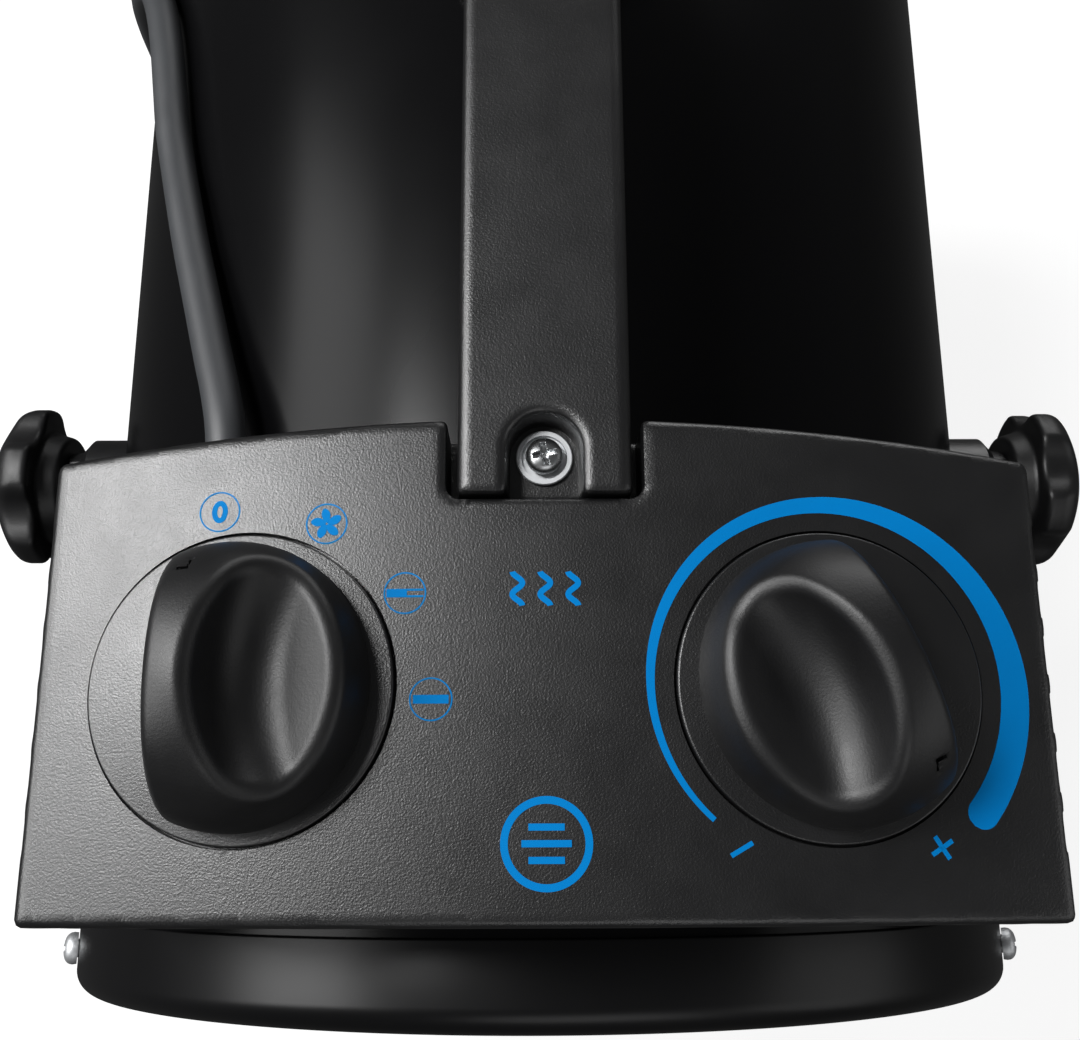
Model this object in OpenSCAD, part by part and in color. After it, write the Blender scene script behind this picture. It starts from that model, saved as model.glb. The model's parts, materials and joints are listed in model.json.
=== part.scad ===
// Drum-shaped electric fan heater that tilts in a bent tube stand, in millimetres.
// The warm air blows along +Y, +X is to the right seen from behind, and the floor is Z 0.

/* [Drum] */
// Outside diameter of the drum
drum_d = 220; // [200:1:240]
// Length over the two end rings
drum_len = 310; // [296:1:340]
// Sheet thickness of the drum
drum_wall = 1; // [0.8:0.1:1.5]
// Height of the drum's axis above the floor
axis_h = 180; // [172:1:210]

/* [End rings] */
// Width of each end ring along the drum
ring_w = 16; // [14:1:22]
// Sheet thickness of the end rings
ring_wall = 0.8; // [0.6:0.1:1.2]
// Radius of the rolled outer edge
ring_roll_r = 5; // [3:0.5:6]
// Width of the flat lip that holds the guard
ring_lip_w = 7; // [5:0.5:10]
// Distance of the ring screws from the ring's outer end
ring_screw_in = 9.5; // [9:0.5:11]
// Angle of the two upper ring screws above the horizontal
ring_screw_angle = 20; // [10:1:35]
// Shank radius of the ring screws
ring_screw_r = 2; // [1.5:0.1:2.4]
// Head radius of the ring screws
ring_screw_head_r = 4; // [3.5:0.1:5]
// Head height of the ring screws
ring_screw_head_h = 3; // [2:0.1:3.6]

/* [Guards] */
// Sheet thickness of the stamped intake guard
guard_t = 1.2; // [1:0.1:2]
// Width of the intake guard's rings
guard_bar = 3; // [2:0.1:4]
// Number of the intake guard's rings
guard_bars = 6; // [4:1:7]
// Radius of the intake guard's middle disc
guard_hub_r = 22; // [18:1:28]
// Width of the intake guard's six spokes
guard_spoke_w = 5; // [4:0.5:7]
// Wire radius of the outlet guard's rings
wire_r = 1.3; // [1:0.1:1.6]
// Number of the outlet guard's rings
wire_rings = 9; // [6:1:10]
// Radius of the outlet guard's middle disc
wire_disc_r = 15; // [12:1:20]
// Wire radius of the outlet guard's six spokes
wire_spoke_r = 2; // [1.5:0.1:2.5]

/* [Control housing] */
// Width of the housing across the drum
housing_w = 155; // [145:1:165]
// Length of the housing along the drum at its middle
housing_len = 76; // [72:1:86]
// Distance of the housing from the drum's rear end
housing_in = 20; // [18:1:30]
// Height of the panel above the drum at its middle
housing_rise = 40; // [36:1:48]
// Radius of the panel's arch across the drum
arch_r = 500; // [400:10:900]
// Radius of the housing's bowed front wall, seen from above
bow_r = 540; // [400:10:900]
// Wall thickness of the housing
housing_wall = 2.5; // [2:0.1:3]
// Radius of the housing's rounded edges
housing_edge_r = 2.5; // [1.5:0.1:3.5]
// Number of vent slots in each side wall
vent_count = 6; // [4:1:6]
// Spacing of the vent slots
vent_pitch = 8.8; // [8:0.1:9.5]
// Length of each vent slot
vent_len = 6.6; // [5:0.1:7]
// Height of each vent slot
vent_h = 13; // [8:1:18]

/* [Dials] */
// Distance of the selector dial from the housing's left side
selector_in = 32; // [30:0.5:35]
// Distance of the thermostat dial from the housing's right side
thermostat_in = 35; // [31:0.5:37]
// Distance of the dials from the housing's rear wall
dial_in = 34.4; // [32:0.2:40]
// Radius of each knob's round skirt
skirt_r = 23.2; // [20:0.2:25]
// Thickness of the skirt
skirt_t = 2.2; // [1.6:0.1:3]
// How far the skirt stands above the panel
skirt_rise = 0.4; // [0:0.1:1]
// Radius of the grip
grip_r = 20.8; // [18:0.2:22]
// Height of the grip above the skirt
grip_h = 20.5; // [16:0.5:24]
// Radius of the grip's domed top
grip_edge_r = 19; // [10:0.5:20]
// Distance of the grip's cut side from the axis
grip_cut = 8.5; // [7:0.5:11]
// Radius of the bow of the grip's cut side
grip_cut_r = 120; // [60:5:200]
// Radius of the finger scoop at its middle
scoop_r = 10; // [8:0.5:12]
// Half length of the finger scoop
scoop_half_len = 19; // [16:0.5:20]
// Place of the finger scoop beside the axis
scoop_x = 11.5; // [9:0.5:13]
// Angle of the selector's grip, counted from +X towards +Y
selector_angle = 90; // [80:0.5:110]
// Angle of the thermostat's grip, counted from +X towards +Y
thermostat_angle = -67; // [-80:1:-40]
// Radius of the dial shafts
dial_shaft_r = 3; // [2.5:0.1:3.5]
// Width of the selector switch
switch_w = 28; // [24:1:32]
// Depth of the selector switch below the panel
switch_h = 20; // [16:1:22]
// Radius of the thermostat's round body
thermostat_r = 17; // [14:0.5:19]
// Depth of the thermostat below the panel
thermostat_h = 18; // [14:1:20]

/* [Handle] */
// Width of the carrying handle
handle_w = 27; // [24:0.5:30]
// Thickness of the carrying handle
handle_t = 13; // [11:0.5:15]
// Radius of the handle's long edges
handle_edge_r = 3.5; // [2:0.5:5]
// How far the handle stands above the panel
handle_proud = 1; // [0:0.5:3]
// Length of the handle's straight bar
handle_bar_len = 112; // [95:1:125]
// Inside radius of the bend at the handle's front
handle_bend_r = 14; // [10:1:18]
// Width of the handle's foot on the drum
foot_w = 37; // [33:1:44]
// Length of the handle's foot on the drum
foot_len = 30; // [24:1:36]
// Thickness of the handle's foot
foot_t = 4; // [3:0.5:6]
// Depth of the notch that takes the handle
notch_depth = 13; // [11:0.5:15]
// Gap between the handle and the sides of the notch
notch_gap = 1.7; // [1:0.1:2.5]
// Radius of the screw recess in the handle
recess_r = 5.3; // [5:0.1:6.5]
// Depth of the screw recess in the handle
recess_depth = 6; // [4:0.5:8]
// Distance of the screw from the handle's rear end
handle_screw_in = 6.5; // [5.5:0.5:8]
// Radius of the washer under the handle screw
washer_r = 4.5; // [4:0.1:4.8]
// Thickness of the washer
washer_t = 0.8; // [0.5:0.1:1.2]

/* [Stand] */
// Radius of the stand's tube
tube_r = 8; // [7:0.5:10]
// Distance of the tilt pivot from the drum's rear end
pivot_in = 128.5; // [118:0.5:140]
// Place along the floor where the arm and rail lines meet behind
stand_rear_y = -120; // [-135:1:-105]
// Place of the cross tube at the front
stand_front_y = 130; // [115:1:140]
// Bend radius of the tube between arm and rail
arm_bend_r = 32; // [26:1:40]
// Bend radius of the tube at the front corners
corner_bend_r = 40; // [30:1:55]
// Thickness of the flattened arm ends
arm_t = 4; // [3:0.5:5]
// Radius of the rounded arm ends
arm_end_r = 10; // [9:0.5:12]
// Length of the flattened arm ends below the pivot
arm_flat_len = 22; // [16:1:30]
// Length over which the tube turns flat
arm_taper_len = 16; // [12:1:24]
// Thickness of the rubber under the tube
pad_t = 4; // [3:0.5:6]
// Length of each rubber foot
pad_len = 26; // [18:1:34]

/* [Clamp] */
// Length of the bush between drum and arm
bush_len = 15.4; // [12:0.1:20]
// Radius of the bush
bush_r = 13.5; // [11:0.5:16]
// Radius of the pivot stud
stud_r = 4; // [3:0.5:5]
// Largest radius of the lobed clamp knob
clamp_r = 22.5; // [20:0.5:26]
// Number of lobes on the clamp knob
clamp_lobes = 5; // [4:1:7]
// Radius of the hollows between the lobes
clamp_hollow_r = 9; // [7:0.5:11]
// Thickness of the lobed head
clamp_head_t = 15; // [12:0.5:18]
// Radius of the clamp knob's hub
clamp_hub_r = 17; // [14:0.5:19]
// Length of the clamp knob's hub
clamp_hub_len = 6.5; // [5:0.5:10]

/* [Fan and motor] */
// Radius of the motor
motor_r = 36; // [30:1:42]
// Length of the motor
motor_len = 56; // [46:1:62]
// Distance of the motor from the drum's rear end
motor_in = 37; // [32:1:42]
// Radius of the motor shaft
shaft_r = 4; // [3:0.5:5]
// Radius of the fan
fan_r = 92; // [80:1:94]
// Radius of the fan's hub
fan_hub_r = 19; // [15:1:24]
// Length of the fan's hub
fan_hub_len = 22; // [18:1:26]
// Number of fan blades
fan_blades = 6; // [4:1:7]
// Pitch angle of the fan blades
fan_pitch = 30; // [20:1:36]
// Sheet thickness of the fan blades
fan_blade_t = 1.6; // [1.2:0.1:2.5]
// Gap between the motor and the fan's hub
fan_gap = 9; // [6:0.5:12]
// Width of the motor bracket's arms
bracket_w = 18; // [14:1:24]
// Sheet thickness of the motor bracket
bracket_t = 2; // [1.5:0.1:3]

/* [Heater] */
// Outside radius of the inner duct
liner_r = 100; // [97:0.5:102]
// Sheet thickness of the inner duct
liner_wall = 0.8; // [0.6:0.1:1.2]
// Radius of the heating tubes
element_r = 4; // [3:0.5:5]
// Radius of the innermost heating ring
element_inner_r = 38; // [32:1:44]
// Spacing of the heating rings
element_pitch = 22; // [18:0.5:24]
// Number of heating rings
element_rings = 3; // [2:1:3]
// Place of the heating rings along the drum
element_y = 60; // [40:1:90]
// Length of the heating tubes' straight ends
element_leg = 34; // [24:1:44]
// Width of the element bracket's bars
element_bar_w = 12; // [8:1:16]
// Sheet thickness of the element bracket
element_bar_t = 1.5; // [1:0.1:2.5]

/* [Cord] */
// Diameter of the mains cord
cord_d = 8; // [7:0.5:9]
// Distance of the cord outlet from the housing's left side
outlet_in = 15.5; // [13:0.5:22]
// Clearance between the cord gland and the drum
gland_gap = 0.7; // [0.5:0.1:4]
// Length of the cord gland in front of the wall
gland_len = 13; // [10:1:24]
// Inner radius of the coil
coil_inner_r = 36; // [33:0.5:42]
// Spacing of the turns in the coil
coil_pitch = 8.8; // [8.6:0.1:10]
// Width of the tie round the coil
tie_w = 9; // [6:1:14]
// Thickness of the tie
tie_t = 1; // [0.6:0.1:1.5]

/* [Clearances] */
// Gap between curved faces that seat on each other
seat_gap = 0.2; // [0.1:0.05:0.3]
// Gap between the flat faces of the tilt pivot
face_gap = 0.1; // [0.05:0.05:0.3]
// Radial gap of shafts and studs that turn
run_gap = 0.05; // [0.02:0.01:0.1]
// Gap round the knob skirts in their recesses
skirt_gap = 0.6; // [0.4:0.1:1]

/* [Hidden] */
$fn = 64;
over = 1;

// Drum and rings
drum_r = drum_d / 2;
drum_bore_r = drum_r - drum_wall;
rear_y = -drum_len / 2;
front_y = drum_len / 2;
roll_clear = 0.5;
drum_inset = ring_roll_r + roll_clear;
ring_bore_r = drum_r + seat_gap;
ring_out_r = ring_bore_r + ring_wall;
ring_roll_x = ring_out_r - ring_roll_r;
guard_r = ring_roll_x - seat_gap;
ring_screw_len = 7;
ring_screw_angles = [ring_screw_angle, 180 - ring_screw_angle, 270];
guard_rim = 7;
wire_weld = 0.6;

// Housing and dials
crown_z = axis_h + drum_r + housing_rise;
near_y = rear_y + housing_in;
far_y = near_y + housing_len;
dial_y = near_y + dial_in;
housing_half = housing_w / 2;
selector_x = selector_in - housing_half;
thermostat_x = housing_half - thermostat_in;
edge_steps = 16;
skirt_floor_gap = 0.4;
well_depth = skirt_t - skirt_rise + skirt_floor_gap;
well_floor_t = 2.5;
well_wall = 2.5;
vent_drop = 1.2;
vent_first_in = 13;
shaft_hole_gap = 0.6;
shaft_in_knob = 9;
shaft_in_body = 14;
knob_bore_gap = 0.02;
terminal_len = 40;
terminal_w = 18;
terminal_h = 15;
terminal_in = 24;

// Handle
handle_top_z = crown_z + handle_proud;
handle_low_z = handle_top_z - handle_t;
notch_y = far_y - notch_depth;
notch_end_gap = 1.2;
handle_rear_y = notch_y + notch_end_gap;
handle_front_y = handle_rear_y + handle_bar_len;
handle_screw_y = handle_rear_y + handle_screw_in;
handle_screw_r = 2;
handle_screw_head_r = 3.1;
handle_screw_head_h = 2.4;
handle_screw_len = 16;
pocket_t = 3;
boss_r = 5;
boss_len = 12;
foot_y = handle_front_y + handle_bend_r + handle_t / 2;
foot_screw_len = 14;

// Stand and clamps
pivot_y = rear_y + pivot_in;
arm_x0 = drum_r + bush_len + face_gap;
arm_x = arm_x0 + arm_t / 2;
clamp_x0 = arm_x0 + arm_t + face_gap;
rail_z = pad_t + tube_r;
arm_angle = atan2(axis_h - rail_z, pivot_y - stand_rear_y);
arm_tangent = arm_bend_r / tan(arm_angle / 2);
arm_span = norm([axis_h - rail_z, pivot_y - stand_rear_y]);
arm_tube_len = arm_span - arm_tangent - arm_flat_len - arm_taper_len;
rail_rear_y = stand_rear_y + arm_tangent;
rail_front_y = stand_front_y - corner_bend_r;
cross_half = arm_x - corner_bend_r;
taper_step = 0.2;
bend_thin = 0.05;
bend_lap = 1;
pad_front_y = rail_front_y - pad_len / 2;
pad_rear_y = rail_rear_y + pad_len / 2;
pad_wrap = 3;
stud_pad_t = 1.6;
stud_pad_r = 11;
stud_head_t = 4;
stud_head_r = 7;
stud_in_knob = 14;
clamp_dome_h = 4.5;
clamp_hollow_at = clamp_r + clamp_hollow_r * 0.55;

// Fan, motor and heater
motor_y = rear_y + motor_in;
motor_front_y = motor_y + motor_len;
motor_cap_r = motor_r - 6;
motor_cap_len = 9;
motor_nose_r = 11;
motor_nose_len = 5;
bracket_ring_r = motor_cap_r;
bracket_hole_r = 12;
bracket_tab = 14;
motor_screw_at = 22;
motor_screw_r = 2;
motor_screw_len = 8;
motor_screw_head_r = 3.6;
motor_screw_head_h = 2.4;
shaft_depth = 24;
shaft_nose = 8;
fan_y = motor_front_y + fan_gap;
shaft_start_y = motor_front_y - shaft_depth;
shaft_end_y = fan_y + fan_hub_len + shaft_nose;
fan_camber_r = 70;
fan_blade_half = 24;
nut_r = 7;
nut_t = 5;
liner_rear_y = motor_front_y;
liner_front_in = 10;
liner_bore_r = liner_r - liner_wall;
spacer_t = 1;
spacer_in = 14;
spacer_gap = 4;
spacer_rear_y = min(liner_rear_y + spacer_in, pivot_y - stud_pad_r - spacer_t - spacer_gap);
element_gap = 44;
element_bend_r = 9;
element_core_r = element_r / 2;
element_bar_y = element_y - element_r - seat_gap;
cutout_y = 12;
cutout_angle = 60;
cutout_r = 7.5;
cutout_h = 6;

// Cord
cord_r = cord_d / 2;
gland_r = 7;
outlet_x = outlet_in - housing_half;
outlet_z = sqrt(pow(drum_r + gland_r + gland_gap, 2) - outlet_x * outlet_x);
outlet_y = wall_front_y(outlet_x);
gland_tip_y = outlet_y + gland_len;
gland_tip_r = 5.2;
gland_collar = 2;
gland_in_len = 8;
floor_lift = 0.2;
coil_at = [8, 60];
coil_turn_back = 2.25;
coil_turns = 4.25;
coil_rings_per_turn = 24;
coil_sides = 6;
cord_sides = 8;
coil_low_z = tie_t + floor_lift * 2 + cord_r;
coil_layer_h = cord_d + 0.6;
tie_turn = 0.5;
tie_gap = 1;
plug_tail_r = 5.5;
plug_tail_len = 22;
plug_neck_r = 8;
plug_body_r = 18.5;
plug_shoulder = 40;
plug_len = 56;
plug_at = [74, -30];
plug_turn = -98;
plug_slope = 11;
plug_axis_z = floor_lift + plug_body_r * cos(plug_slope) - plug_shoulder * sin(plug_slope);
pin_r = 2.4;
pin_len = 19;
pin_apart = 19;
pin_seat = 6;

// Route of the free cord from its gland to the coil: across, along and above the floor
cord_route = [
    [-63, -42, 279.5], [-65, -34, 277.5], [-67.5, -26, 275], [-70.5, -16, 272], [-73.5, -6, 269],
    [-76.5, 4, 266], [-79.5, 15, 263], [-82.5, 26, 259.5], [-85.5, 38, 256.5], [-88, 51, 253.5],
    [-90.5, 64, 250.5], [-93.5, 76, 246.5], [-97.5, 87, 240.5], [-102.5, 96.5, 232],
    [-108, 104.5, 220], [-112.5, 110.5, 206], [-115.5, 114.5, 190], [-117, 116.5, 172],
    [-117.5, 116, 154], [-117.5, 114, 136], [-117.5, 111.5, 118], [-117, 109, 100],
    [-115.5, 106.5, 82], [-112.5, 104.5, 65], [-107.5, 103.5, 49], [-100.5, 103.5, 35.5],
    [-91.5, 104.5, 24.5], [-81, 106.5, 16.3], [-69, 109, 10.4], [-56, 111.5, 6.8],
    [-43, 113.7, 5.4], [-29, 115.2, 5.4], [-15, 115.8, 5.4]
];
// Route of the cord's last stretch from the coil to the plug
end_route = [
    [62.5, 42, 13.4], [64, 32, 11.6], [66.5, 22, 9], [69.5, 11, 7], [72, 0, 6.3], [73.6, -10, 7]
];

// Height of the panel above the floor at a place across it
function panel_z(x) = crown_z - arch_r + sqrt(arch_r * arch_r - x * x);
// Place of the bowed front wall at a place across the housing
function wall_front_y(x) = far_y - bow_r + sqrt(bow_r * bow_r - x * x);
// A vector of length one
function unit(v) = v / norm(v);
// Smooth step from 0 to 1
function ease(t) = t <= 0 ? 0 : t >= 1 ? 1 : t * t * (3 - 2 * t);

// Coil: the radius falls to the turn-back and grows again at a steady rate, and the cord climbs
// one layer in the half turn round the turn-back
function coil_r(u) = coil_inner_r + coil_pitch * abs(u - coil_turn_back);
function coil_z(u) = coil_low_z + coil_layer_h * ease(2 * (u - coil_turn_back) + 0.5);
function coil_point(u) = [
    coil_at[0] + coil_r(u) * sin(360 * u),
    coil_at[1] + coil_r(u) * cos(360 * u),
    coil_z(u)
];
coil_steps = round(coil_turns * coil_rings_per_turn);
coil_wound = [for (i = [0:coil_steps]) coil_point(i / coil_rings_per_turn)];
coil_start = coil_wound[0] - [cord_d, 0, 0];
coil_finish = coil_wound[coil_steps] - [0, cord_d, 0];
coil_path = concat([coil_start], coil_wound, [coil_finish]);

// Least gap of the coil to itself, between points at least half a turn apart along it
coil_apart = coil_rings_per_turn / 2;
coil_gaps = [
    for (i = [0:len(coil_path) - 1 - coil_apart])
        min([for (j = [i + coil_apart:len(coil_path) - 1]) norm(coil_path[i] - coil_path[j])]) - cord_d
];
echo(coil_least_gap = min(coil_gaps));

// Whole route of the free cord and of its last stretch
plug_tail = [plug_at[0], plug_at[1], plug_axis_z];
plug_way = [cos(plug_turn) * cos(plug_slope), sin(plug_turn) * cos(plug_slope), sin(plug_slope)];
cord_path = concat([[outlet_x, gland_tip_y, axis_h + outlet_z]], cord_route, [coil_start]);
end_path = concat([coil_finish], end_route, [plug_tail - plug_way * cord_d, plug_tail]);
function path_len(p) = len(p) < 2 ? 0 : norm(p[1] - p[0]) + path_len([for (i = [1:len(p) - 1]) p[i]]);
echo(cord_length = path_len(cord_path) + path_len(coil_path) + path_len(end_path));

// Direction of a path at each of its points
function path_way(p, i, first, last) =
    i == 0 && first != undef ? first :
    i == len(p) - 1 && last != undef ? last :
    unit(p[min(i + 1, len(p) - 1)] - p[max(i - 1, 0)]);
// Side vectors carried along a path without twist
function carry_sides(ways, i, sides) =
    i == len(ways) ? sides :
    let (s = sides[i - 1], w = ways[i]) carry_sides(ways, i + 1, concat(sides, [unit(s - w * (s * w))]));

// Round tube swept along a path, its ends square to the given directions
module swept_tube(p, r, n, first, last, side) {
    ways = [for (i = [0:len(p) - 1]) path_way(p, i, first, last)];
    sides = carry_sides(ways, 1, [unit(side - ways[0] * (side * ways[0]))]);
    count = len(p);
    points = [
        for (i = [0:count - 1])
            for (k = [0:n - 1])
                p[i] + r * (cos(360 * k / n) * sides[i] + sin(360 * k / n) * cross(ways[i], sides[i]))
    ];
    walls = [
        for (i = [0:count - 2])
            for (k = [0:n - 1])
                let (a = i * n + k, b = i * n + (k + 1) % n)
                    for (face = [[a, a + n, b], [b, a + n, b + n]]) face
    ];
    ends = [
        for (k = [1:n - 2]) for (face = [[0, k, k + 1], [(count - 1) * n, (count - 1) * n + k + 1,
            (count - 1) * n + k]]) face
    ];
    polyhedron(points = points, faces = concat(walls, ends), convexity = 10);
}

// Places children on the drum's axis: their z runs forwards from the given place
module forwards_from(y) {
    translate([0, y, axis_h]) rotate([-90, 0, 0]) children();
}

// Places children on the drum's axis: their z runs backwards from the given place
module backwards_from(y) {
    translate([0, y, axis_h]) rotate([90, 0, 0]) children();
}

// Turns children round the drum's axis, so that their x points out at the given angle above +X
module around_drum(angle) {
    translate([0, 0, axis_h]) rotate([0, -angle, 0]) children();
}

// Places children in the side plane at x: their x runs forwards, their y up and their z across
module side_plane(x) {
    translate([x, 0, 0]) rotate([90, 0, 90]) children();
}

// Places children on the panel at x: their z runs out of the panel
module on_panel(x) {
    translate([x, dial_y, panel_z(x)]) rotate([0, asin(x / arch_r), 0]) children();
}

// Solid that fills the drum's outside, with the seat gap
module drum_space() {
    forwards_from(rear_y - over) cylinder(r = drum_r + seat_gap, h = drum_len + 2 * over, $fn = 128);
}

// Flat ring in the x and y plane
module flat_ring(outer, inner) {
    difference() {
        circle(outer);
        circle(inner);
    }
}

// Rectangle with round corners, centred across x, standing on y 0
module soft_rectangle(w, h, r) {
    translate([-w / 2 + r, 0]) square([w - 2 * r, h]);
    translate([-w / 2, r]) square([w, h - 2 * r]);
    for (x = [-w / 2 + r, w / 2 - r]) for (y = [r, h - r]) translate([x, y]) circle(r, $fn = 32);
}

// Pan head screw: its head stands on z 0 and its shank runs down
module pan_screw(shank_r, shank_len, head_r, head_h) {
    dome_r = (head_r * head_r + head_h * head_h) / (2 * head_h);
    translate([0, 0, -shank_len]) cylinder(r = shank_r, h = shank_len);
    intersection() {
        cylinder(r = head_r, h = head_h);
        translate([0, 0, head_h - dome_r]) sphere(dome_r);
    }
}

module ring_screw_holes() {
    for (y = [rear_y + ring_screw_in, front_y - ring_screw_in])
        for (a = ring_screw_angles)
            translate([0, y, 0]) around_drum(a) translate([drum_r - 3 * over, 0, 0])
                rotate([0, 90, 0]) cylinder(r = ring_screw_r + seat_gap, h = 6 * over);
}

module pivot_holes() {
    translate([-drum_r - over, pivot_y, axis_h]) rotate([0, 90, 0])
        cylinder(r = stud_r + seat_gap, h = drum_d + 2 * over);
}

// Outer drum, open to the controls under the housing
module drum_shell() {
    wire_hole_r = 9;
    color("#0b0b0c") difference() {
        forwards_from(rear_y + drum_inset) difference() {
            cylinder(r = drum_r, h = drum_len - 2 * drum_inset, $fn = 128);
            translate([0, 0, -over])
                cylinder(r = drum_bore_r, h = drum_len - 2 * drum_inset + 2 * over, $fn = 128);
        }
        ring_screw_holes();
        pivot_holes();
        translate([0, dial_y, axis_h]) cylinder(r = wire_hole_r, h = drum_r + over);
        translate([0, foot_y, axis_h]) cylinder(r = handle_screw_r + seat_gap, h = drum_r + over);
    }
}

// Half section of an end ring: collar, rolled edge and lip
module ring_section() {
    translate([ring_bore_r, ring_roll_r]) square([ring_wall, ring_w - ring_roll_r]);
    translate([ring_roll_x, ring_roll_r]) intersection() {
        flat_ring(ring_roll_r, ring_roll_r - ring_wall);
        translate([0, -ring_roll_r]) square(ring_roll_r);
    }
    translate([ring_roll_x - ring_lip_w, 0]) square([ring_lip_w, ring_wall]);
}

module rear_ring() {
    color("#0d0d0e") difference() {
        forwards_from(rear_y) rotate_extrude($fn = 128) ring_section();
        ring_screw_holes();
    }
}

module front_ring() {
    color("#0d0d0e") difference() {
        backwards_from(front_y) rotate_extrude($fn = 128) ring_section();
        ring_screw_holes();
    }
}

module ring_screws() {
    color("#c9c9c6")
        for (y = [rear_y + ring_screw_in, front_y - ring_screw_in])
            for (a = ring_screw_angles)
                translate([0, y, 0]) around_drum(a) translate([ring_out_r + seat_gap, 0, 0])
                    rotate([0, 90, 0])
                        pan_screw(ring_screw_r, ring_screw_len, ring_screw_head_r, ring_screw_head_h);
}

// Stamped intake guard: a rim, rings, six spokes and a middle disc
module rear_guard() {
    first_r = guard_hub_r;
    step = (guard_r - guard_rim - first_r) / guard_bars;
    color("#141415") forwards_from(rear_y + ring_wall) linear_extrude(guard_t) {
        flat_ring(guard_r, guard_r - guard_rim);
        for (i = [1:guard_bars - 1])
            flat_ring(first_r + i * step + guard_bar / 2, first_r + i * step - guard_bar / 2);
        circle(guard_hub_r);
        for (a = [30:60:330])
            rotate(a) translate([0, -guard_spoke_w / 2]) square([guard_r - guard_rim / 2, guard_spoke_w]);
    }
}

// Welded wire outlet guard: rings of round wire on six spokes and a middle disc
module front_guard() {
    outer_r = guard_r - wire_r;
    first_r = wire_disc_r;
    step = (outer_r - first_r) / wire_rings;
    spoke_z = 2 * wire_r + wire_spoke_r - wire_weld;
    color("#1a1a1b") backwards_from(front_y - ring_wall) {
        for (i = [1:wire_rings])
            translate([0, 0, wire_r]) rotate_extrude($fn = 96)
                translate([first_r + i * step, 0]) circle(wire_r, $fn = 24);
        cylinder(r = wire_disc_r, h = spoke_z);
        for (a = [0:60:300])
            rotate(a) translate([wire_disc_r / 2, 0, spoke_z]) rotate([0, 90, 0])
                cylinder(r = wire_spoke_r, h = outer_r - wire_disc_r / 2, $fn = 24);
    }
}

// Inner duct that keeps the heat off the drum
module inner_liner() {
    liner_len = front_y - liner_front_in - liner_rear_y;
    color("#b9bcbd") forwards_from(liner_rear_y) difference() {
        cylinder(r = liner_r, h = liner_len, $fn = 128);
        translate([0, 0, -over]) cylinder(r = liner_bore_r, h = liner_len + 2 * over, $fn = 128);
    }
}

// Sheet rings that hold the duct in the middle of the drum
module liner_spacers() {
    color("#b0b3b4")
        for (y = [spacer_rear_y, front_y - liner_front_in - spacer_in])
            forwards_from(y) linear_extrude(spacer_t)
                flat_ring(drum_bore_r - seat_gap, liner_r + seat_gap, $fn = 128);
}

// One open ring of heating tube, its gap at +X and its ends bent back towards the fan
module heating_ring(r) {
    span = 360 - 2 * asin(element_gap / 2 / r);
    rotate(180 - span / 2) rotate_extrude(angle = span, $fn = 96)
        translate([r, 0]) circle(element_r, $fn = 24);
    for (end = [[180 - span / 2, -90], [180 + span / 2, 90]])
        rotate(end[0]) translate([r, 0, 0]) rotate(end[1]) {
            translate([-over, 0, 0]) rotate([0, 90, 0]) cylinder(r = element_core_r, h = 2 * over);
            translate([0, 0, -element_bend_r]) rotate([90, 0, 0]) rotate_extrude(angle = 90)
                translate([element_bend_r, 0]) circle(element_r, $fn = 24);
            translate([element_bend_r, 0, -element_bend_r - over]) cylinder(r = element_core_r, h = 2 * over);
            translate([element_bend_r, 0, -element_bend_r - element_leg])
                cylinder(r = element_r, h = element_leg, $fn = 24);
        }
}

module heating_element() {
    color("#6d6660") forwards_from(element_y)
        for (i = [0:element_rings - 1])
            rotate(90 + 120 * i) heating_ring(element_inner_r + i * element_pitch);
}

// Three bars across the duct that carry the heating rings
module element_bracket() {
    bar_hub_r = element_inner_r - element_r - element_bend_r;
    color("#a4a6a6") forwards_from(element_bar_y - element_bar_t) intersection() {
        cylinder(r = liner_bore_r - seat_gap, h = element_bar_t, $fn = 128);
        linear_extrude(element_bar_t) {
            circle(bar_hub_r);
            for (a = [30, 150, 270])
                rotate(a) translate([0, -element_bar_w / 2]) square([liner_r, element_bar_w]);
        }
    }
}

// Overheat switch seated on the outside of the duct
module thermal_cutout() {
    color("#d8d2c4") translate([0, cutout_y, 0]) around_drum(cutout_angle) difference() {
        translate([liner_r - 3 * over, 0, 0]) rotate([0, 90, 0]) {
            cylinder(r = cutout_r, h = cutout_h + 3 * over);
            translate([-cutout_r - 3, -2.5, 0]) cube([2 * cutout_r + 6, 5, 3 * over + 2]);
        }
        translate([0, -2 * cutout_r, 0]) rotate([-90, 0, 0])
            cylinder(r = liner_r + seat_gap, h = 4 * cutout_r, $fn = 128);
    }
}

// Fan motor: a round case with stepped ends and a bearing nose
module fan_motor() {
    case_len = motor_len - 2 * motor_cap_len;
    color("#8d8f90") forwards_from(motor_y) difference() {
        union() {
            cylinder(r = motor_cap_r, h = motor_len);
            translate([0, 0, motor_cap_len]) cylinder(r = motor_r, h = case_len);
            cylinder(r = motor_nose_r, h = motor_len + motor_nose_len);
        }
        translate([0, 0, shaft_start_y - motor_y - over])
            cylinder(r = shaft_r + run_gap, h = motor_len);
        for (a = [90, 210, 330])
            rotate(a) translate([motor_screw_at, 0, -over])
                cylinder(r = motor_screw_r + seat_gap, h = motor_cap_len);
    }
}

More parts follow.
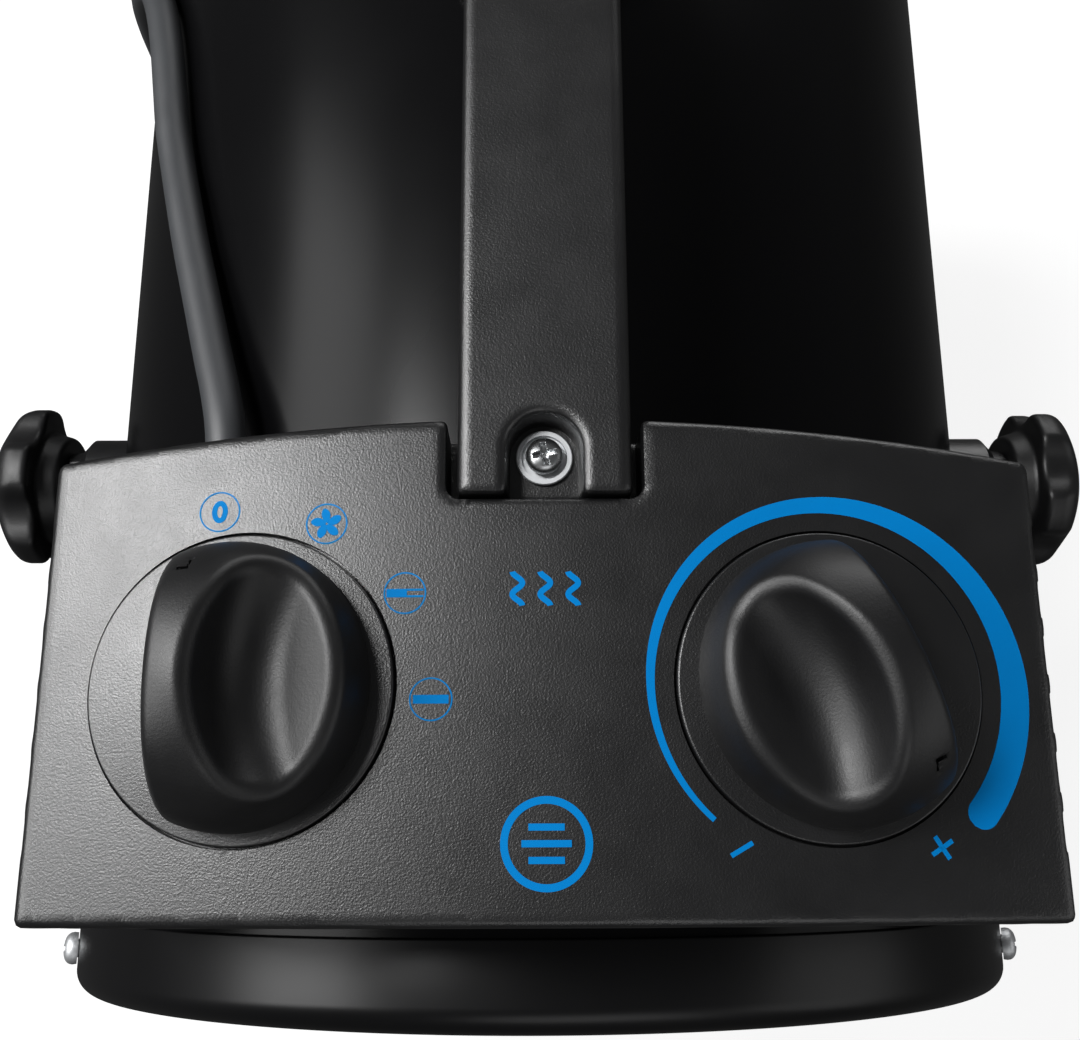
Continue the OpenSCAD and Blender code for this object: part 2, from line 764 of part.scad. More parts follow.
// Sheet spider that holds the motor in the drum
module motor_bracket() {
    color("#9b9d9e") forwards_from(motor_y - bracket_t) difference() {
        intersection() {
            cylinder(r = drum_bore_r - seat_gap, h = bracket_tab, $fn = 128);
            union() {
                cylinder(r = bracket_ring_r, h = bracket_t);
                for (a = [30, 150, 270]) rotate(a) {
                    translate([0, -bracket_w / 2, 0]) cube([drum_r, bracket_w, bracket_t]);
                    translate([drum_bore_r - 2 * bracket_t, -bracket_w / 2, 0])
                        cube([2 * bracket_t, bracket_w, bracket_tab]);
                }
            }
        }
        translate([0, 0, -over]) cylinder(r = bracket_hole_r, h = bracket_tab);
        for (a = [90, 210, 330])
            rotate(a) translate([motor_screw_at, 0, -over])
                cylinder(r = motor_screw_r + seat_gap, h = bracket_tab);
    }
}

module motor_screws() {
    color("#c4c4c0") backwards_from(motor_y - bracket_t)
        for (a = [90, 210, 330])
            rotate(-a) translate([motor_screw_at, 0, 0])
                pan_screw(motor_screw_r, motor_screw_len, motor_screw_head_r, motor_screw_head_h);
}

module motor_shaft() {
    color("#cfcfd0") forwards_from(shaft_start_y) cylinder(r = shaft_r, h = shaft_end_y - shaft_start_y);
}

// One cambered fan blade: a sector of a bent and pitched sheet
module fan_blade() {
    intersection() {
        translate([0, 0, -fan_hub_len / 2]) linear_extrude(fan_hub_len) intersection() {
            flat_ring(fan_r, fan_hub_r - over);
            polygon([
                [0, 0],
                2 * fan_r * [cos(fan_blade_half), -sin(fan_blade_half)],
                2 * fan_r * [cos(fan_blade_half), sin(fan_blade_half)]
            ]);
        }
        rotate([fan_pitch, 0, 0]) translate([0, 0, -fan_camber_r]) rotate([0, 90, 0]) difference() {
            cylinder(r = fan_camber_r + fan_blade_t / 2, h = 2 * fan_r);
            translate([0, 0, -over]) cylinder(r = fan_camber_r - fan_blade_t / 2, h = 2 * fan_r + 2 * over);
        }
    }
}

module fan_impeller() {
    color("#c2c5c7") forwards_from(fan_y) difference() {
        union() {
            cylinder(r = fan_hub_r, h = fan_hub_len);
            translate([0, 0, fan_hub_len / 2])
                for (i = [0:fan_blades - 1]) rotate(360 * i / fan_blades) fan_blade();
        }
        translate([0, 0, -over]) cylinder(r = shaft_r + knob_bore_gap, h = fan_hub_len + 2 * over);
    }
}

module fan_nut() {
    color("#bdbdb9") forwards_from(fan_y + fan_hub_len) difference() {
        cylinder(r = nut_r, h = nut_t, $fn = 6);
        translate([0, 0, -over]) cylinder(r = shaft_r + knob_bore_gap, h = nut_t + 2 * over);
    }
}

// Outside of the housing: round-edged box with an arched panel and a bowed front
module housing_block() {
    r = housing_edge_r;
    half = housing_half - r;
    low_z = axis_h + sqrt(drum_r * drum_r - housing_half * housing_half) - 2 * r;
    hull() for (i = [0:edge_steps]) {
        x = half * (2 * i / edge_steps - 1);
        translate([x, wall_front_y(x) - r, panel_z(x) - r]) sphere(r, $fn = 32);
        translate([x, near_y + r, panel_z(x) - r]) sphere(r, $fn = 32);
        translate([x, wall_front_y(x) - r, low_z]) cylinder(r = r, h = r, $fn = 32);
        translate([x, near_y + r, low_z]) cylinder(r = r, h = r, $fn = 32);
    }
}

// Hollow of the housing under its walls
module housing_hollow() {
    half = housing_half - housing_wall;
    intersection() {
        translate([-half, near_y + housing_wall, axis_h])
            cube([2 * half, housing_len, drum_r + housing_rise]);
        translate([0, near_y - over, crown_z - arch_r]) rotate([-90, 0, 0])
            cylinder(r = arch_r - housing_wall, h = housing_len + 2 * over, $fn = 180);
        translate([0, far_y - bow_r, axis_h])
            cylinder(r = bow_r - housing_wall, h = drum_r + housing_rise, $fn = 180);
    }
}

// Notch in the panel that takes the handle's rear end
module handle_notch(grow, drop) {
    w = handle_w + 2 * notch_gap + 2 * grow;
    translate([0, notch_y - grow, handle_low_z - drop]) linear_extrude(handle_t + handle_proud + drop + over)
        soft_rectangle(w, notch_depth + 4 * handle_edge_r, handle_edge_r);
}

module control_housing() {
    well_r = skirt_r + skirt_gap;
    color("#161617") difference() {
        housing_block();
        difference() {
            housing_hollow();
            for (x = [selector_x, thermostat_x])
                on_panel(x) translate([0, 0, -well_depth - well_floor_t])
                    cylinder(r = well_r + well_wall, h = well_depth + well_floor_t);
            handle_notch(pocket_t, pocket_t);
            translate([0, handle_screw_y, handle_low_z - boss_len]) cylinder(r = boss_r, h = boss_len);
        }
        handle_notch(0, 0);
        for (x = [selector_x, thermostat_x]) on_panel(x) {
            translate([0, 0, -well_depth]) cylinder(r = well_r, h = well_depth + 3 * over);
            translate([0, 0, -well_depth - well_floor_t - over])
                cylinder(r = dial_shaft_r + shaft_hole_gap, h = well_floor_t + 2 * over);
        }
        translate([0, handle_screw_y, handle_low_z - handle_screw_len])
            cylinder(r = handle_screw_r + seat_gap, h = handle_screw_len + over);
        for (side = [-1, 1]) for (i = [0:vent_count - 1])
            translate([side * housing_half - 2 * housing_wall, near_y + vent_first_in + i * vent_pitch
                - vent_len / 2, panel_z(housing_half) - vent_drop - vent_h])
                cube([4 * housing_wall, vent_len, vent_h]);
        translate([outlet_x, outlet_y - 2 * housing_wall, axis_h + outlet_z]) rotate([-90, 0, 0])
            cylinder(r = gland_r + seat_gap, h = 4 * housing_wall);
        drum_space();
    }
}

// Half section of the grip, with its domed top
module grip_section() {
    edge_r = min(grip_edge_r, grip_r - over, grip_h - over);
    square([grip_r - edge_r, grip_h]);
    square([grip_r, grip_h - edge_r]);
    translate([grip_r - edge_r, grip_h - edge_r]) intersection() {
        circle(edge_r);
        square(edge_r);
    }
}

// Dial knob: a flat skirt and a round grip, cut off on one side and scooped on the other
module dial_knob() {
    sink = skirt_t - skirt_rise;
    scoop_bow = (scoop_half_len * scoop_half_len + scoop_r * scoop_r) / (2 * scoop_r);
    difference() {
        union() {
            translate([0, 0, -sink]) cylinder(r = skirt_r, h = skirt_t);
            translate([0, 0, skirt_rise]) intersection() {
                rotate_extrude() grip_section();
                translate([grip_cut_r - grip_cut, 0, -over])
                    cylinder(r = grip_cut_r, h = grip_h + 2 * over, $fn = 128);
            }
        }
        translate([scoop_x, 0, skirt_rise + grip_h]) rotate([90, 0, 0])
            rotate_extrude() intersection() {
                translate([scoop_r - scoop_bow, 0]) circle(scoop_bow, $fn = 96);
                translate([0, -scoop_half_len]) square([scoop_r + over, 2 * scoop_half_len]);
            }
        translate([0, 0, -sink - over]) cylinder(r = dial_shaft_r + knob_bore_gap, h = shaft_in_knob + over);
    }
}

module dial_shaft() {
    translate([0, 0, -well_depth - well_floor_t - shaft_in_body])
        cylinder(r = dial_shaft_r, h = well_depth + well_floor_t + shaft_in_body
            + shaft_in_knob - (skirt_t - skirt_rise) - over);
}

module selector_knob() {
    color("#121213") on_panel(selector_x) rotate(selector_angle - 90) dial_knob();
}

module thermostat_knob() {
    color("#121213") on_panel(thermostat_x) rotate(thermostat_angle - 90) dial_knob();
}

module selector_shaft() {
    color("#c8c8c4") on_panel(selector_x) dial_shaft();
}

module thermostat_shaft() {
    color("#c8c8c4") on_panel(thermostat_x) dial_shaft();
}

// Rotary switch with its terminals, screwed under the panel
module selector_switch() {
    top = -well_depth - well_floor_t;
    terminal_t = 1;
    color("#e4e0d4") on_panel(selector_x) difference() {
        union() {
            translate([-switch_w / 2, -switch_w / 2, top - switch_h]) cube([switch_w, switch_w, switch_h]);
            for (x = [-8, 0, 8]) for (y = [-9, 9])
                translate([x - 3, y - terminal_t / 2, top - switch_h - 6]) cube([6, terminal_t, 6 + over]);
        }
        translate([0, 0, top - shaft_in_body - over])
            cylinder(r = dial_shaft_r + run_gap, h = shaft_in_body + 2 * over);
    }
}

// Bimetal thermostat with its terminals, screwed under the panel
module room_thermostat() {
    top = -well_depth - well_floor_t;
    terminal_t = 1;
    color("#d9c9a6") on_panel(thermostat_x) difference() {
        union() {
            translate([0, 0, top - thermostat_h]) cylinder(r = thermostat_r, h = thermostat_h);
            for (x = [-7, 7])
                translate([x - 3, -terminal_t / 2, top - thermostat_h - 6]) cube([6, terminal_t, 6 + over]);
        }
        translate([0, 0, top - shaft_in_body - over])
            cylinder(r = dial_shaft_r + run_gap, h = shaft_in_body + 2 * over);
    }
}

// Terminal block for the mains cord, seated on the drum under the housing
module terminal_block() {
    poles = 4;
    pole_pitch = terminal_len / poles;
    color("#ece7da") difference() {
        translate([-terminal_len / 2, near_y + terminal_in - terminal_w, axis_h + drum_r - over])
            cube([terminal_len, terminal_w, terminal_h + over]);
        for (i = [0:poles - 1])
            translate([pole_pitch * (i + 0.5) - terminal_len / 2, near_y + terminal_in - terminal_w / 2,
                axis_h + drum_r + terminal_h - 4]) cylinder(r = 3, h = 4 + over);
        drum_space();
    }
}

// Carrying handle: a bar from the housing's notch that bends down to a foot on the drum
module carry_handle() {
    post_low = axis_h + drum_r - over;
    post_y = handle_front_y + handle_bend_r;
    color("#171718") difference() {
        union() {
            translate([0, handle_front_y, handle_low_z]) rotate([90, 0, 0])
                linear_extrude(handle_bar_len) soft_rectangle(handle_w, handle_t, handle_edge_r);
            translate([0, handle_front_y, handle_low_z - handle_bend_r]) rotate([90, 0, 90])
                rotate_extrude(angle = 90) translate([handle_bend_r, 0]) rotate(-90)
                    soft_rectangle(handle_w, handle_t, handle_edge_r);
            translate([0, post_y, post_low]) linear_extrude(handle_low_z - handle_bend_r - post_low)
                soft_rectangle(handle_w, handle_t, handle_edge_r);
            translate([0, foot_y - foot_len / 2, axis_h + drum_r - foot_t]) linear_extrude(2 * foot_t)
                soft_rectangle(foot_w, foot_len, 2 * handle_edge_r);
        }
        translate([0, handle_screw_y, handle_top_z - recess_depth]) {
            cylinder(r = recess_r, h = recess_depth + over);
            translate([-recess_r, -handle_screw_in - over, 0])
                cube([2 * recess_r, handle_screw_in + over, recess_depth + over]);
        }
        translate([0, handle_screw_y, handle_low_z - over])
            cylinder(r = handle_screw_r + seat_gap, h = handle_t);
        translate([0, foot_y, axis_h]) cylinder(r = handle_screw_r + seat_gap, h = drum_r + foot_screw_len);
        drum_space();
    }
}

// Screw in the handle's recess, and the one from inside the drum into its foot
module handle_screws() {
    color("#cfcfcb") {
        translate([0, handle_screw_y, handle_top_z - recess_depth + washer_t])
            pan_screw(handle_screw_r, handle_screw_len, handle_screw_head_r, handle_screw_head_h);
        translate([0, foot_y, axis_h + drum_bore_r - seat_gap - drum_wall]) mirror([0, 0, 1])
            pan_screw(handle_screw_r, foot_screw_len - over, handle_screw_head_r, handle_screw_head_h);
    }
}

module handle_washer() {
    color("#d6d6d2") translate([0, handle_screw_y, handle_top_z - recess_depth]) linear_extrude(washer_t)
        flat_ring(washer_r, handle_screw_r + seat_gap);
}

// Bush on each side of the drum, with a chamfered outer end
module pivot_bushes() {
    chamfer = 2.5;
    color("#131314") for (side = [0, 1]) mirror([side, 0, 0]) difference() {
        translate([0, pivot_y, axis_h]) rotate([0, 90, 0]) {
            cylinder(r = bush_r, h = drum_r + bush_len - chamfer);
            translate([0, 0, drum_r + bush_len - chamfer])
                cylinder(r1 = bush_r, r2 = bush_r - chamfer, h = chamfer);
        }
        drum_space();
        translate([0, pivot_y, axis_h]) rotate([0, 90, 0]) cylinder(r = stud_r + seat_gap, h = 2 * drum_r);
    }
}

// Bolt through each bush, with its hexagon head and curved plate inside the drum
module pivot_studs() {
    seat_x = drum_bore_r - stud_pad_t - seat_gap;
    stud_end = clamp_x0 + stud_in_knob;
    color("#bfbfbb") for (side = [0, 1]) mirror([side, 0, 0]) translate([0, pivot_y, axis_h]) {
        translate([seat_x - stud_head_t, 0, 0]) rotate([0, 90, 0]) {
            cylinder(r = stud_head_r, h = stud_head_t, $fn = 6);
            cylinder(r = stud_r, h = stud_end - seat_x + stud_head_t);
        }
        intersection() {
            translate([seat_x - over, 0, 0]) rotate([0, 90, 0])
                cylinder(r = stud_pad_r, h = stud_pad_t + over);
            translate([0, -stud_pad_r, 0]) rotate([-90, 0, 0])
                cylinder(r = drum_bore_r - seat_gap, h = 2 * stud_pad_r, $fn = 128);
        }
    }
}

// Lobed clamp knob with a domed face: its z runs out from the stand's arm
module clamp_knob() {
    bore = stud_in_knob + run_gap;
    dome_r = (clamp_r * clamp_r + clamp_dome_h * clamp_dome_h) / (2 * clamp_dome_h);
    difference() {
        union() {
            cylinder(r = clamp_hub_r, h = clamp_hub_len);
            translate([0, 0, clamp_hub_len]) intersection() {
                linear_extrude(clamp_head_t) difference() {
                    circle(clamp_r);
                    for (i = [0:clamp_lobes - 1])
                        rotate(360 * (i + 0.5) / clamp_lobes) translate([clamp_hollow_at, 0])
                            circle(clamp_hollow_r);
                }
                translate([0, 0, clamp_head_t - dome_r]) sphere(dome_r, $fn = 128);
            }
        }
        translate([0, 0, -over]) cylinder(r = stud_r + run_gap, h = bore + over);
    }
}

module clamp_knob_right() {
    color("#161617") translate([clamp_x0, pivot_y, axis_h]) rotate([0, 90, 0]) clamp_knob();
}

module clamp_knob_left() {
    color("#161617") translate([-clamp_x0, pivot_y, axis_h]) rotate([0, -90, 0]) clamp_knob();
}

// Bend of the stand's tube, a little thinner, that reaches into the straight lengths at both ends
module tube_bend(radius, angle) {
    lap = asin(bend_lap / radius);
    rotate(-lap) rotate_extrude(angle = angle + 2 * lap)
        translate([radius, 0]) circle(tube_r - bend_thin);
}

// One side of the stand: flattened end, arm, rear bend and floor rail
module stand_side(x) {
    side_plane(x) {
        translate([pivot_y, axis_h]) mirror([1, 0, 0]) rotate(-arm_angle) {
            translate([0, 0, -arm_t / 2]) {
                cylinder(r = arm_end_r, h = arm_t);
                translate([0, -arm_end_r, 0]) cube([arm_flat_len, 2 * arm_end_r, arm_t]);
            }
            hull() {
                translate([arm_flat_len - over, -arm_end_r + taper_step, -arm_t / 2 + taper_step])
                    cube([over, 2 * (arm_end_r - taper_step), arm_t - 2 * taper_step]);
                translate([arm_flat_len + arm_taper_len, 0, 0]) rotate([0, 90, 0])
                    cylinder(r = tube_r - taper_step, h = over, $fn = 32);
            }
            translate([arm_flat_len + arm_taper_len, 0, 0]) rotate([0, 90, 0])
                cylinder(r = tube_r, h = arm_tube_len);
        }
        translate([rail_rear_y, rail_z + arm_bend_r]) mirror([1, 0, 0]) rotate(-90)
            tube_bend(arm_bend_r, 180 - arm_angle);
        translate([rail_rear_y, rail_z]) rotate([0, 90, 0])
            cylinder(r = tube_r, h = rail_front_y - rail_rear_y);
    }
}

// Stand of one bent tube: two arms, two rails and the cross tube in front
module stand_frame() {
    color("#111112") difference() {
        union() {
            for (x = [-arm_x, arm_x]) stand_side(x);
            translate([-cross_half, stand_front_y, rail_z]) rotate([0, 90, 0])
                cylinder(r = tube_r, h = 2 * cross_half);
            for (corner = [[-1, 90], [1, 0]])
                translate([corner[0] * cross_half, rail_front_y, rail_z]) rotate(corner[1])
                    tube_bend(corner_bend_r, 90);
        }
        translate([-arm_x - tube_r - over, pivot_y, axis_h]) rotate([0, 90, 0])
            cylinder(r = stud_r + run_gap, h = 2 * (arm_x + tube_r + over));
    }
}

// Rubber feet that clip round the rails
module stand_feet() {
    pad_r = tube_r + pad_t + 1;
    color("#1b1b1b") for (x = [-arm_x, arm_x]) for (y = [pad_front_y, pad_rear_y])
        translate([x, y - pad_len / 2, 0]) difference() {
            translate([0, 0, rail_z]) rotate([-90, 0, 0]) cylinder(r = pad_r, h = pad_len);
            translate([0, -over, rail_z]) rotate([-90, 0, 0])
                cylinder(r = tube_r + seat_gap, h = pad_len + 2 * over);
            translate([-pad_r - over, -over, rail_z + pad_wrap])
                cube([2 * (pad_r + over), pad_len + 2 * over, pad_r]);
            translate([-pad_r - over, -over, -pad_r]) cube([2 * (pad_r + over), pad_len + 2 * over, pad_r]);
        }
}

// Tapered gland in the housing's front wall
module cord_gland() {
    color("#161616") translate([outlet_x, outlet_y, axis_h + outlet_z]) rotate([-90, 0, 0]) {
        translate([0, 0, -gland_in_len]) cylinder(r = gland_r, h = gland_in_len + gland_collar);
        translate([0, 0, gland_collar])
            cylinder(r1 = gland_r, r2 = gland_tip_r, h = gland_len - gland_collar);
    }
}

module mains_cord() {
    color("#1d1d1e") swept_tube(cord_path, cord_r, cord_sides, [0, 1, 0], [1, 0, 0], [1, 0, 0]);
}

module cord_coil() {
    color("#1d1d1e") swept_tube(coil_path, cord_r, coil_sides, [1, 0, 0], [0, -1, 0], [0, 0, 1]);
}

module cord_end() {
    color("#1d1d1e") swept_tube(end_path, cord_r, cord_sides, [0, -1, 0], plug_way, [0, 0, 1]);
}

// Band round the coil's turns
module cord_tie() {
    near_r = coil_r(tie_turn + 2) - cord_r - tie_gap;
    far_r = coil_r(tie_turn) + cord_r + tie_gap;
    low = coil_low_z - cord_r - floor_lift;
    high = coil_low_z + coil_layer_h + cord_r + tie_gap;
    w = far_r - near_r + 2 * tie_t;
    h = high - low + 2 * tie_t;
    color("#2a2a2b") translate([coil_at[0], coil_at[1], 0]) rotate(90 - 360 * tie_turn)
        translate([(near_r + far_r) / 2, tie_w / 2, low - tie_t]) rotate([90, 0, 0])
            linear_extrude(tie_w) difference() {
                soft_rectangle(w, h, cord_r);
                translate([0, tie_t]) soft_rectangle(w - 2 * tie_t, h - 2 * tie_t, cord_r - tie_t);
            }
}

// Places children at the plug's cord end: their z runs along the plug
module along_plug() {
    translate(plug_tail) rotate([0, 90 - plug_slope, plug_turn]) children();
}

// Two-pin plug with a tapered grip, lying on the floor
module mains_plug() {
    color("#1a1a1a") along_plug() difference() {
        rotate_extrude() polygon([
            [0, 0], [plug_tail_r, 0], [plug_neck_r, plug_tail_len], [plug_body_r, plug_shoulder],
            [plug_body_r, plug_len], [0, plug_len]
        ]);
        for (x = [-1, 1]) translate([0, x * pin_apart / 2, plug_len - pin_seat])
            cylinder(r = pin_r + knob_bore_gap, h = pin_seat + over);
    }
}

module plug_pins() {
    color("#c7c3b4") along_plug() for (x = [-1, 1])
        translate([0, x * pin_apart / 2, plug_len - pin_seat]) {
            cylinder(r = pin_r, h = pin_len + pin_seat - pin_r);
            translate([0, 0, pin_len + pin_seat - pin_r]) sphere(pin_r);
        }
}

drum_shell();
rear_ring();
front_ring();
ring_screws();
rear_guard();
front_guard();
inner_liner();
liner_spacers();
heating_element();
element_bracket();
thermal_cutout();
fan_motor();
motor_bracket();
motor_screws();
motor_shaft();
fan_impeller();
fan_nut();
control_housing();
selector_switch();
selector_shaft();
selector_knob();
room_thermostat();
thermostat_shaft();
thermostat_knob();
terminal_block();
carry_handle();
handle_screws();
handle_washer();
pivot_bushes();
pivot_studs();
clamp_knob_left();
clamp_knob_right();
stand_frame();
stand_feet();
cord_gland();
mains_cord();
cord_coil();
cord_end();
cord_tie();
mains_plug();
plug_pins();
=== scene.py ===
"""Looks of a drum-shaped fan heater with a dial panel: finishes, moulded pieces, cord and studio."""

import json
import logging
import math
from collections.abc import Callable
from dataclasses import dataclass, field
from enum import Enum

import bmesh
import bpy
import numpy as np
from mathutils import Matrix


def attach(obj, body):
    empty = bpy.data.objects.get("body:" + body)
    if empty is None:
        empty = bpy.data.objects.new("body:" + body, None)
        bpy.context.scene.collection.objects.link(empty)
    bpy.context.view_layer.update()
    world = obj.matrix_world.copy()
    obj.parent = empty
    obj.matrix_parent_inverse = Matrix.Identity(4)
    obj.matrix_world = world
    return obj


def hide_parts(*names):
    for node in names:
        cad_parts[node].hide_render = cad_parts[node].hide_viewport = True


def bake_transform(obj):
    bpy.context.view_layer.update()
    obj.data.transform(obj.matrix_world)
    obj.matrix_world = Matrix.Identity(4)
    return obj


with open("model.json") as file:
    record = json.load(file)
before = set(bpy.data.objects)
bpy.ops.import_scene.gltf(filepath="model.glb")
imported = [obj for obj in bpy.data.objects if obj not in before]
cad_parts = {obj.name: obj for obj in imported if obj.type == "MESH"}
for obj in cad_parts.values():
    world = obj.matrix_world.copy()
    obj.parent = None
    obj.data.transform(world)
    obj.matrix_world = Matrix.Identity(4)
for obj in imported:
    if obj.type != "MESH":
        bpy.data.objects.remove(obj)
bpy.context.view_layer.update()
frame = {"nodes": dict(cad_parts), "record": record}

LOG = logging.getLogger("fan_heater")
Array = np.ndarray
Field = Callable[[Array, Array, Array], Array]
MM = 0.001

# Places and fits in millimetres that more than one sub-assembly uses.
SEAT_GAP = 0.2
PIVOT_Y = -26.5
HANDLE_SCREW_Y = -64.3
HANDLE_LOW_Z = 318.0
SCREW_HOLE_R = 2.2
GLAND_LEN = 13.0
# Points of a mesh that are closer than this, in metres, become one.
MERGE_WITHIN = 1e-6
# A Mix node's sockets for colours, by position: two inputs and the result.
MIX_A, MIX_B, MIX_RESULT = 6, 7, 2


class Body(Enum):
    """The bodies that pieces ride on."""

    STAND = "stand"
    HEATER = "heater"
    SELECTOR = "selector"
    THERMOSTAT = "thermostat"
    CLAMP_LEFT = "clamp_left"
    CLAMP_RIGHT = "clamp_right"


class Pattern(Enum):
    """How a surface was made, which sets the form of its bump."""

    GRAIN = "spark-eroded mould grain"
    PEEL = "sprayed paint"
    BRUSHED = "drawn or rolled metal"
    SPANGLE = "hot-dip zinc crystals"


def linear(hex_colour: str) -> tuple[float, float, float, float]:
    """Turns an sRGB hex colour into linear light.

    Args:
        hex_colour: Colour as #rrggbb.

    Returns:
        Linear red, green and blue, with alpha 1.
    """
    srgb = np.array([int(hex_colour[i:i + 2], 16) for i in (1, 3, 5)]) / 255.0
    light = np.where(srgb <= 0.04045, srgb / 12.92, ((srgb + 0.055) / 1.055) ** 2.4)
    return (*light.tolist(), 1.0)


def add_node(tree: bpy.types.NodeTree, kind: str, settings: dict | None = None,
             inputs: dict | None = None) -> bpy.types.Node:
    """Adds a shader node with its settings, values and links.

    Args:
        tree: Node tree that gets the node.
        kind: Blender's name of the node type.
        settings: Properties of the node.
        inputs: For each input, a value or the output that is linked to it.

    Returns:
        The new node.
    """
    node = tree.nodes.new(kind)
    for name, value in (settings or {}).items():
        setattr(node, name, value)
    for name, value in (inputs or {}).items():
        if isinstance(value, bpy.types.NodeSocket):
            tree.links.new(value, node.inputs[name])
        else:
            node.inputs[name].default_value = value
    return node


def bare_tree(owner: bpy.types.ID) -> bpy.types.NodeTree:
    """Switches a material's or world's nodes on and empties them.

    Args:
        owner: The material or world.

    Returns:
        Its empty node tree.
    """
    owner.use_nodes = True
    owner.node_tree.nodes.clear()
    return owner.node_tree


def link_object(name: str, data: bpy.types.ID) -> bpy.types.Object:
    """Makes an object of some data and links it to the scene.

    Args:
        name: Name of the object.
        data: Its mesh, light or camera.

    Returns:
        The object.
    """
    obj = bpy.data.objects.new(name, data)
    bpy.context.scene.collection.objects.link(obj)
    return obj


@dataclass(frozen=True)
class Finish:
    """A finish, named for its material and how its surface was made.

    The colour drifts between two shades over patches of patch_mm, the roughness between two values
    over the same patches, and the pattern of pattern_mm is a bump of depth_mm.
    """

    slot: str
    colour: str
    shade: str
    roughness: tuple[float, float]
    pattern: Pattern
    pattern_mm: float
    depth_mm: float
    patch_mm: float = 14.0
    patch_detail: float = 3.0
    patch_roughness: float = 0.55
    patch_range: tuple[float, float] = (0.3, 0.7)
    relief_roughness: float = 0.6
    metallic: float = 0.0
    ior: float = 1.5
    specular: float = 0.5
    stretch: tuple[float, float, float] = (1.0, 1.0, 1.0)

    def material(self) -> bpy.types.Material:
        """Builds the finish's material once, and finds it again after that.

        Returns:
            The material of this finish.
        """
        found = bpy.data.materials.get(self.slot)
        if found is not None and "dressed" in found:
            return found
        material = bpy.data.materials.new(self.slot) if found is None else found
        material["dressed"] = True
        tree = bare_tree(material)
        coords = add_node(tree, "ShaderNodeTexCoord").outputs["Object"]
        patches = add_node(tree, "ShaderNodeTexNoise", None, {
            "Vector": coords, "Scale": 1.0 / (self.patch_mm * MM), "Detail": self.patch_detail,
            "Roughness": self.patch_roughness})
        drift = add_node(tree, "ShaderNodeMix", {"data_type": "RGBA"}, {
            "Factor": patches.outputs["Fac"], MIX_A: linear(self.colour), MIX_B: linear(self.shade)})
        rough = add_node(tree, "ShaderNodeMapRange", None, {
            "Value": patches.outputs["Fac"],
            "From Min": self.patch_range[0], "From Max": self.patch_range[1],
            "To Min": self.roughness[0], "To Max": self.roughness[1]})
        bump = add_node(tree, "ShaderNodeBump", None, {
            "Height": self.relief(tree, coords), "Strength": 1.0, "Distance": self.depth_mm * MM})
        shader = add_node(tree, "ShaderNodeBsdfPrincipled", None, {
            "Base Color": drift.outputs[MIX_RESULT], "Roughness": rough.outputs["Result"],
            "Normal": bump.outputs["Normal"], "Metallic": self.metallic, "IOR": self.ior,
            "Specular IOR Level": self.specular})
        add_node(tree, "ShaderNodeOutputMaterial", None, {"Surface": shader.outputs["BSDF"]})
        return material

    def relief(self, tree: bpy.types.NodeTree, coords: bpy.types.NodeSocket) -> bpy.types.NodeSocket:
        """Adds the nodes of the surface's fine relief.

        Args:
            tree: Node tree of the material.
            coords: Object coordinates.

        Returns:
            The height, from 0 to 1.
        """
        placed = add_node(tree, "ShaderNodeMapping", None, {"Vector": coords, "Scale": self.stretch})
        vector = placed.outputs["Vector"]
        scale = 1.0 / (self.pattern_mm * MM)
        if self.pattern is Pattern.SPANGLE:
            cells = add_node(tree, "ShaderNodeTexVoronoi", None, {"Vector": vector, "Scale": scale})
            return cells.outputs["Distance"]
        detail = {Pattern.GRAIN: 2.0, Pattern.BRUSHED: 4.0}.get(self.pattern, 1.0)
        noise = add_node(tree, "ShaderNodeTexNoise", None, {
            "Vector": vector, "Scale": scale, "Detail": detail, "Roughness": self.relief_roughness})
        return noise.outputs["Fac"]


# Stoved gloss paint on sheet steel: deep black, soft clear reflections, a trace of orange peel.
GLOSS_PAINT = Finish("gloss_black_paint", "#080809", "#0a0a0b", (0.22, 0.26), Pattern.PEEL, 2.5, 0.004,
                     patch_mm=60.0, specular=0.1)
# The rings' paint: the same black, a little duller over the drawn and rolled sheet.
RING_PAINT = Finish("ring_black_paint", "#080809", "#0a0a0b", (0.30, 0.36), Pattern.PEEL, 2.0, 0.006,
                    patch_mm=40.0, specular=0.3)
# Semi-gloss powder coat on tube and wire: black with a fine texture.
SATIN_PAINT = Finish("satin_black_paint", "#0b0b0c", "#111112", (0.34, 0.44), Pattern.PEEL, 1.4, 0.02,
                     patch_mm=30.0)
# Moulded ABS with a spark-eroded grain: dark grey-black with a broad, speckled sheen.
# The grain is about a third of a millimetre, as on the object.
GRAINED_PLASTIC = Finish("black_plastic", "#09090a", "#0d0d0e", (0.33, 0.38), Pattern.GRAIN, 0.32, 0.055,
                         patch_mm=9.0, specular=0.8)
# Moulded ABS knobs, smoother than the panel: satin with soft highlights.
KNOB_PLASTIC = Finish("knob_plastic", "#0b0b0c", "#0f0f10", (0.42, 0.48), Pattern.GRAIN, 0.42, 0.03,
                      patch_mm=7.0)
# Moulded rubber: dull dark grey.
RUBBER = Finish("black_rubber", "#141414", "#1a1a1a", (0.62, 0.74), Pattern.GRAIN, 0.5, 0.03, patch_mm=6.0)
# Extruded rubber sheath: grey-black with a dull sheen along it.
CORD_SHEATH = Finish("cord_sheath", "#2b2d30", "#333538", (0.50, 0.58), Pattern.GRAIN, 0.7, 0.02,
                     patch_mm=11.0, specular=0.75)
# Zinc-plated steel: bright, slightly bluish, softly brushed by the tumbling.
ZINC = Finish("zinc_steel", "#c4c6c8", "#a9abac", (0.22, 0.34), Pattern.BRUSHED, 0.35, 0.01, patch_mm=1.5,
              metallic=1.0)
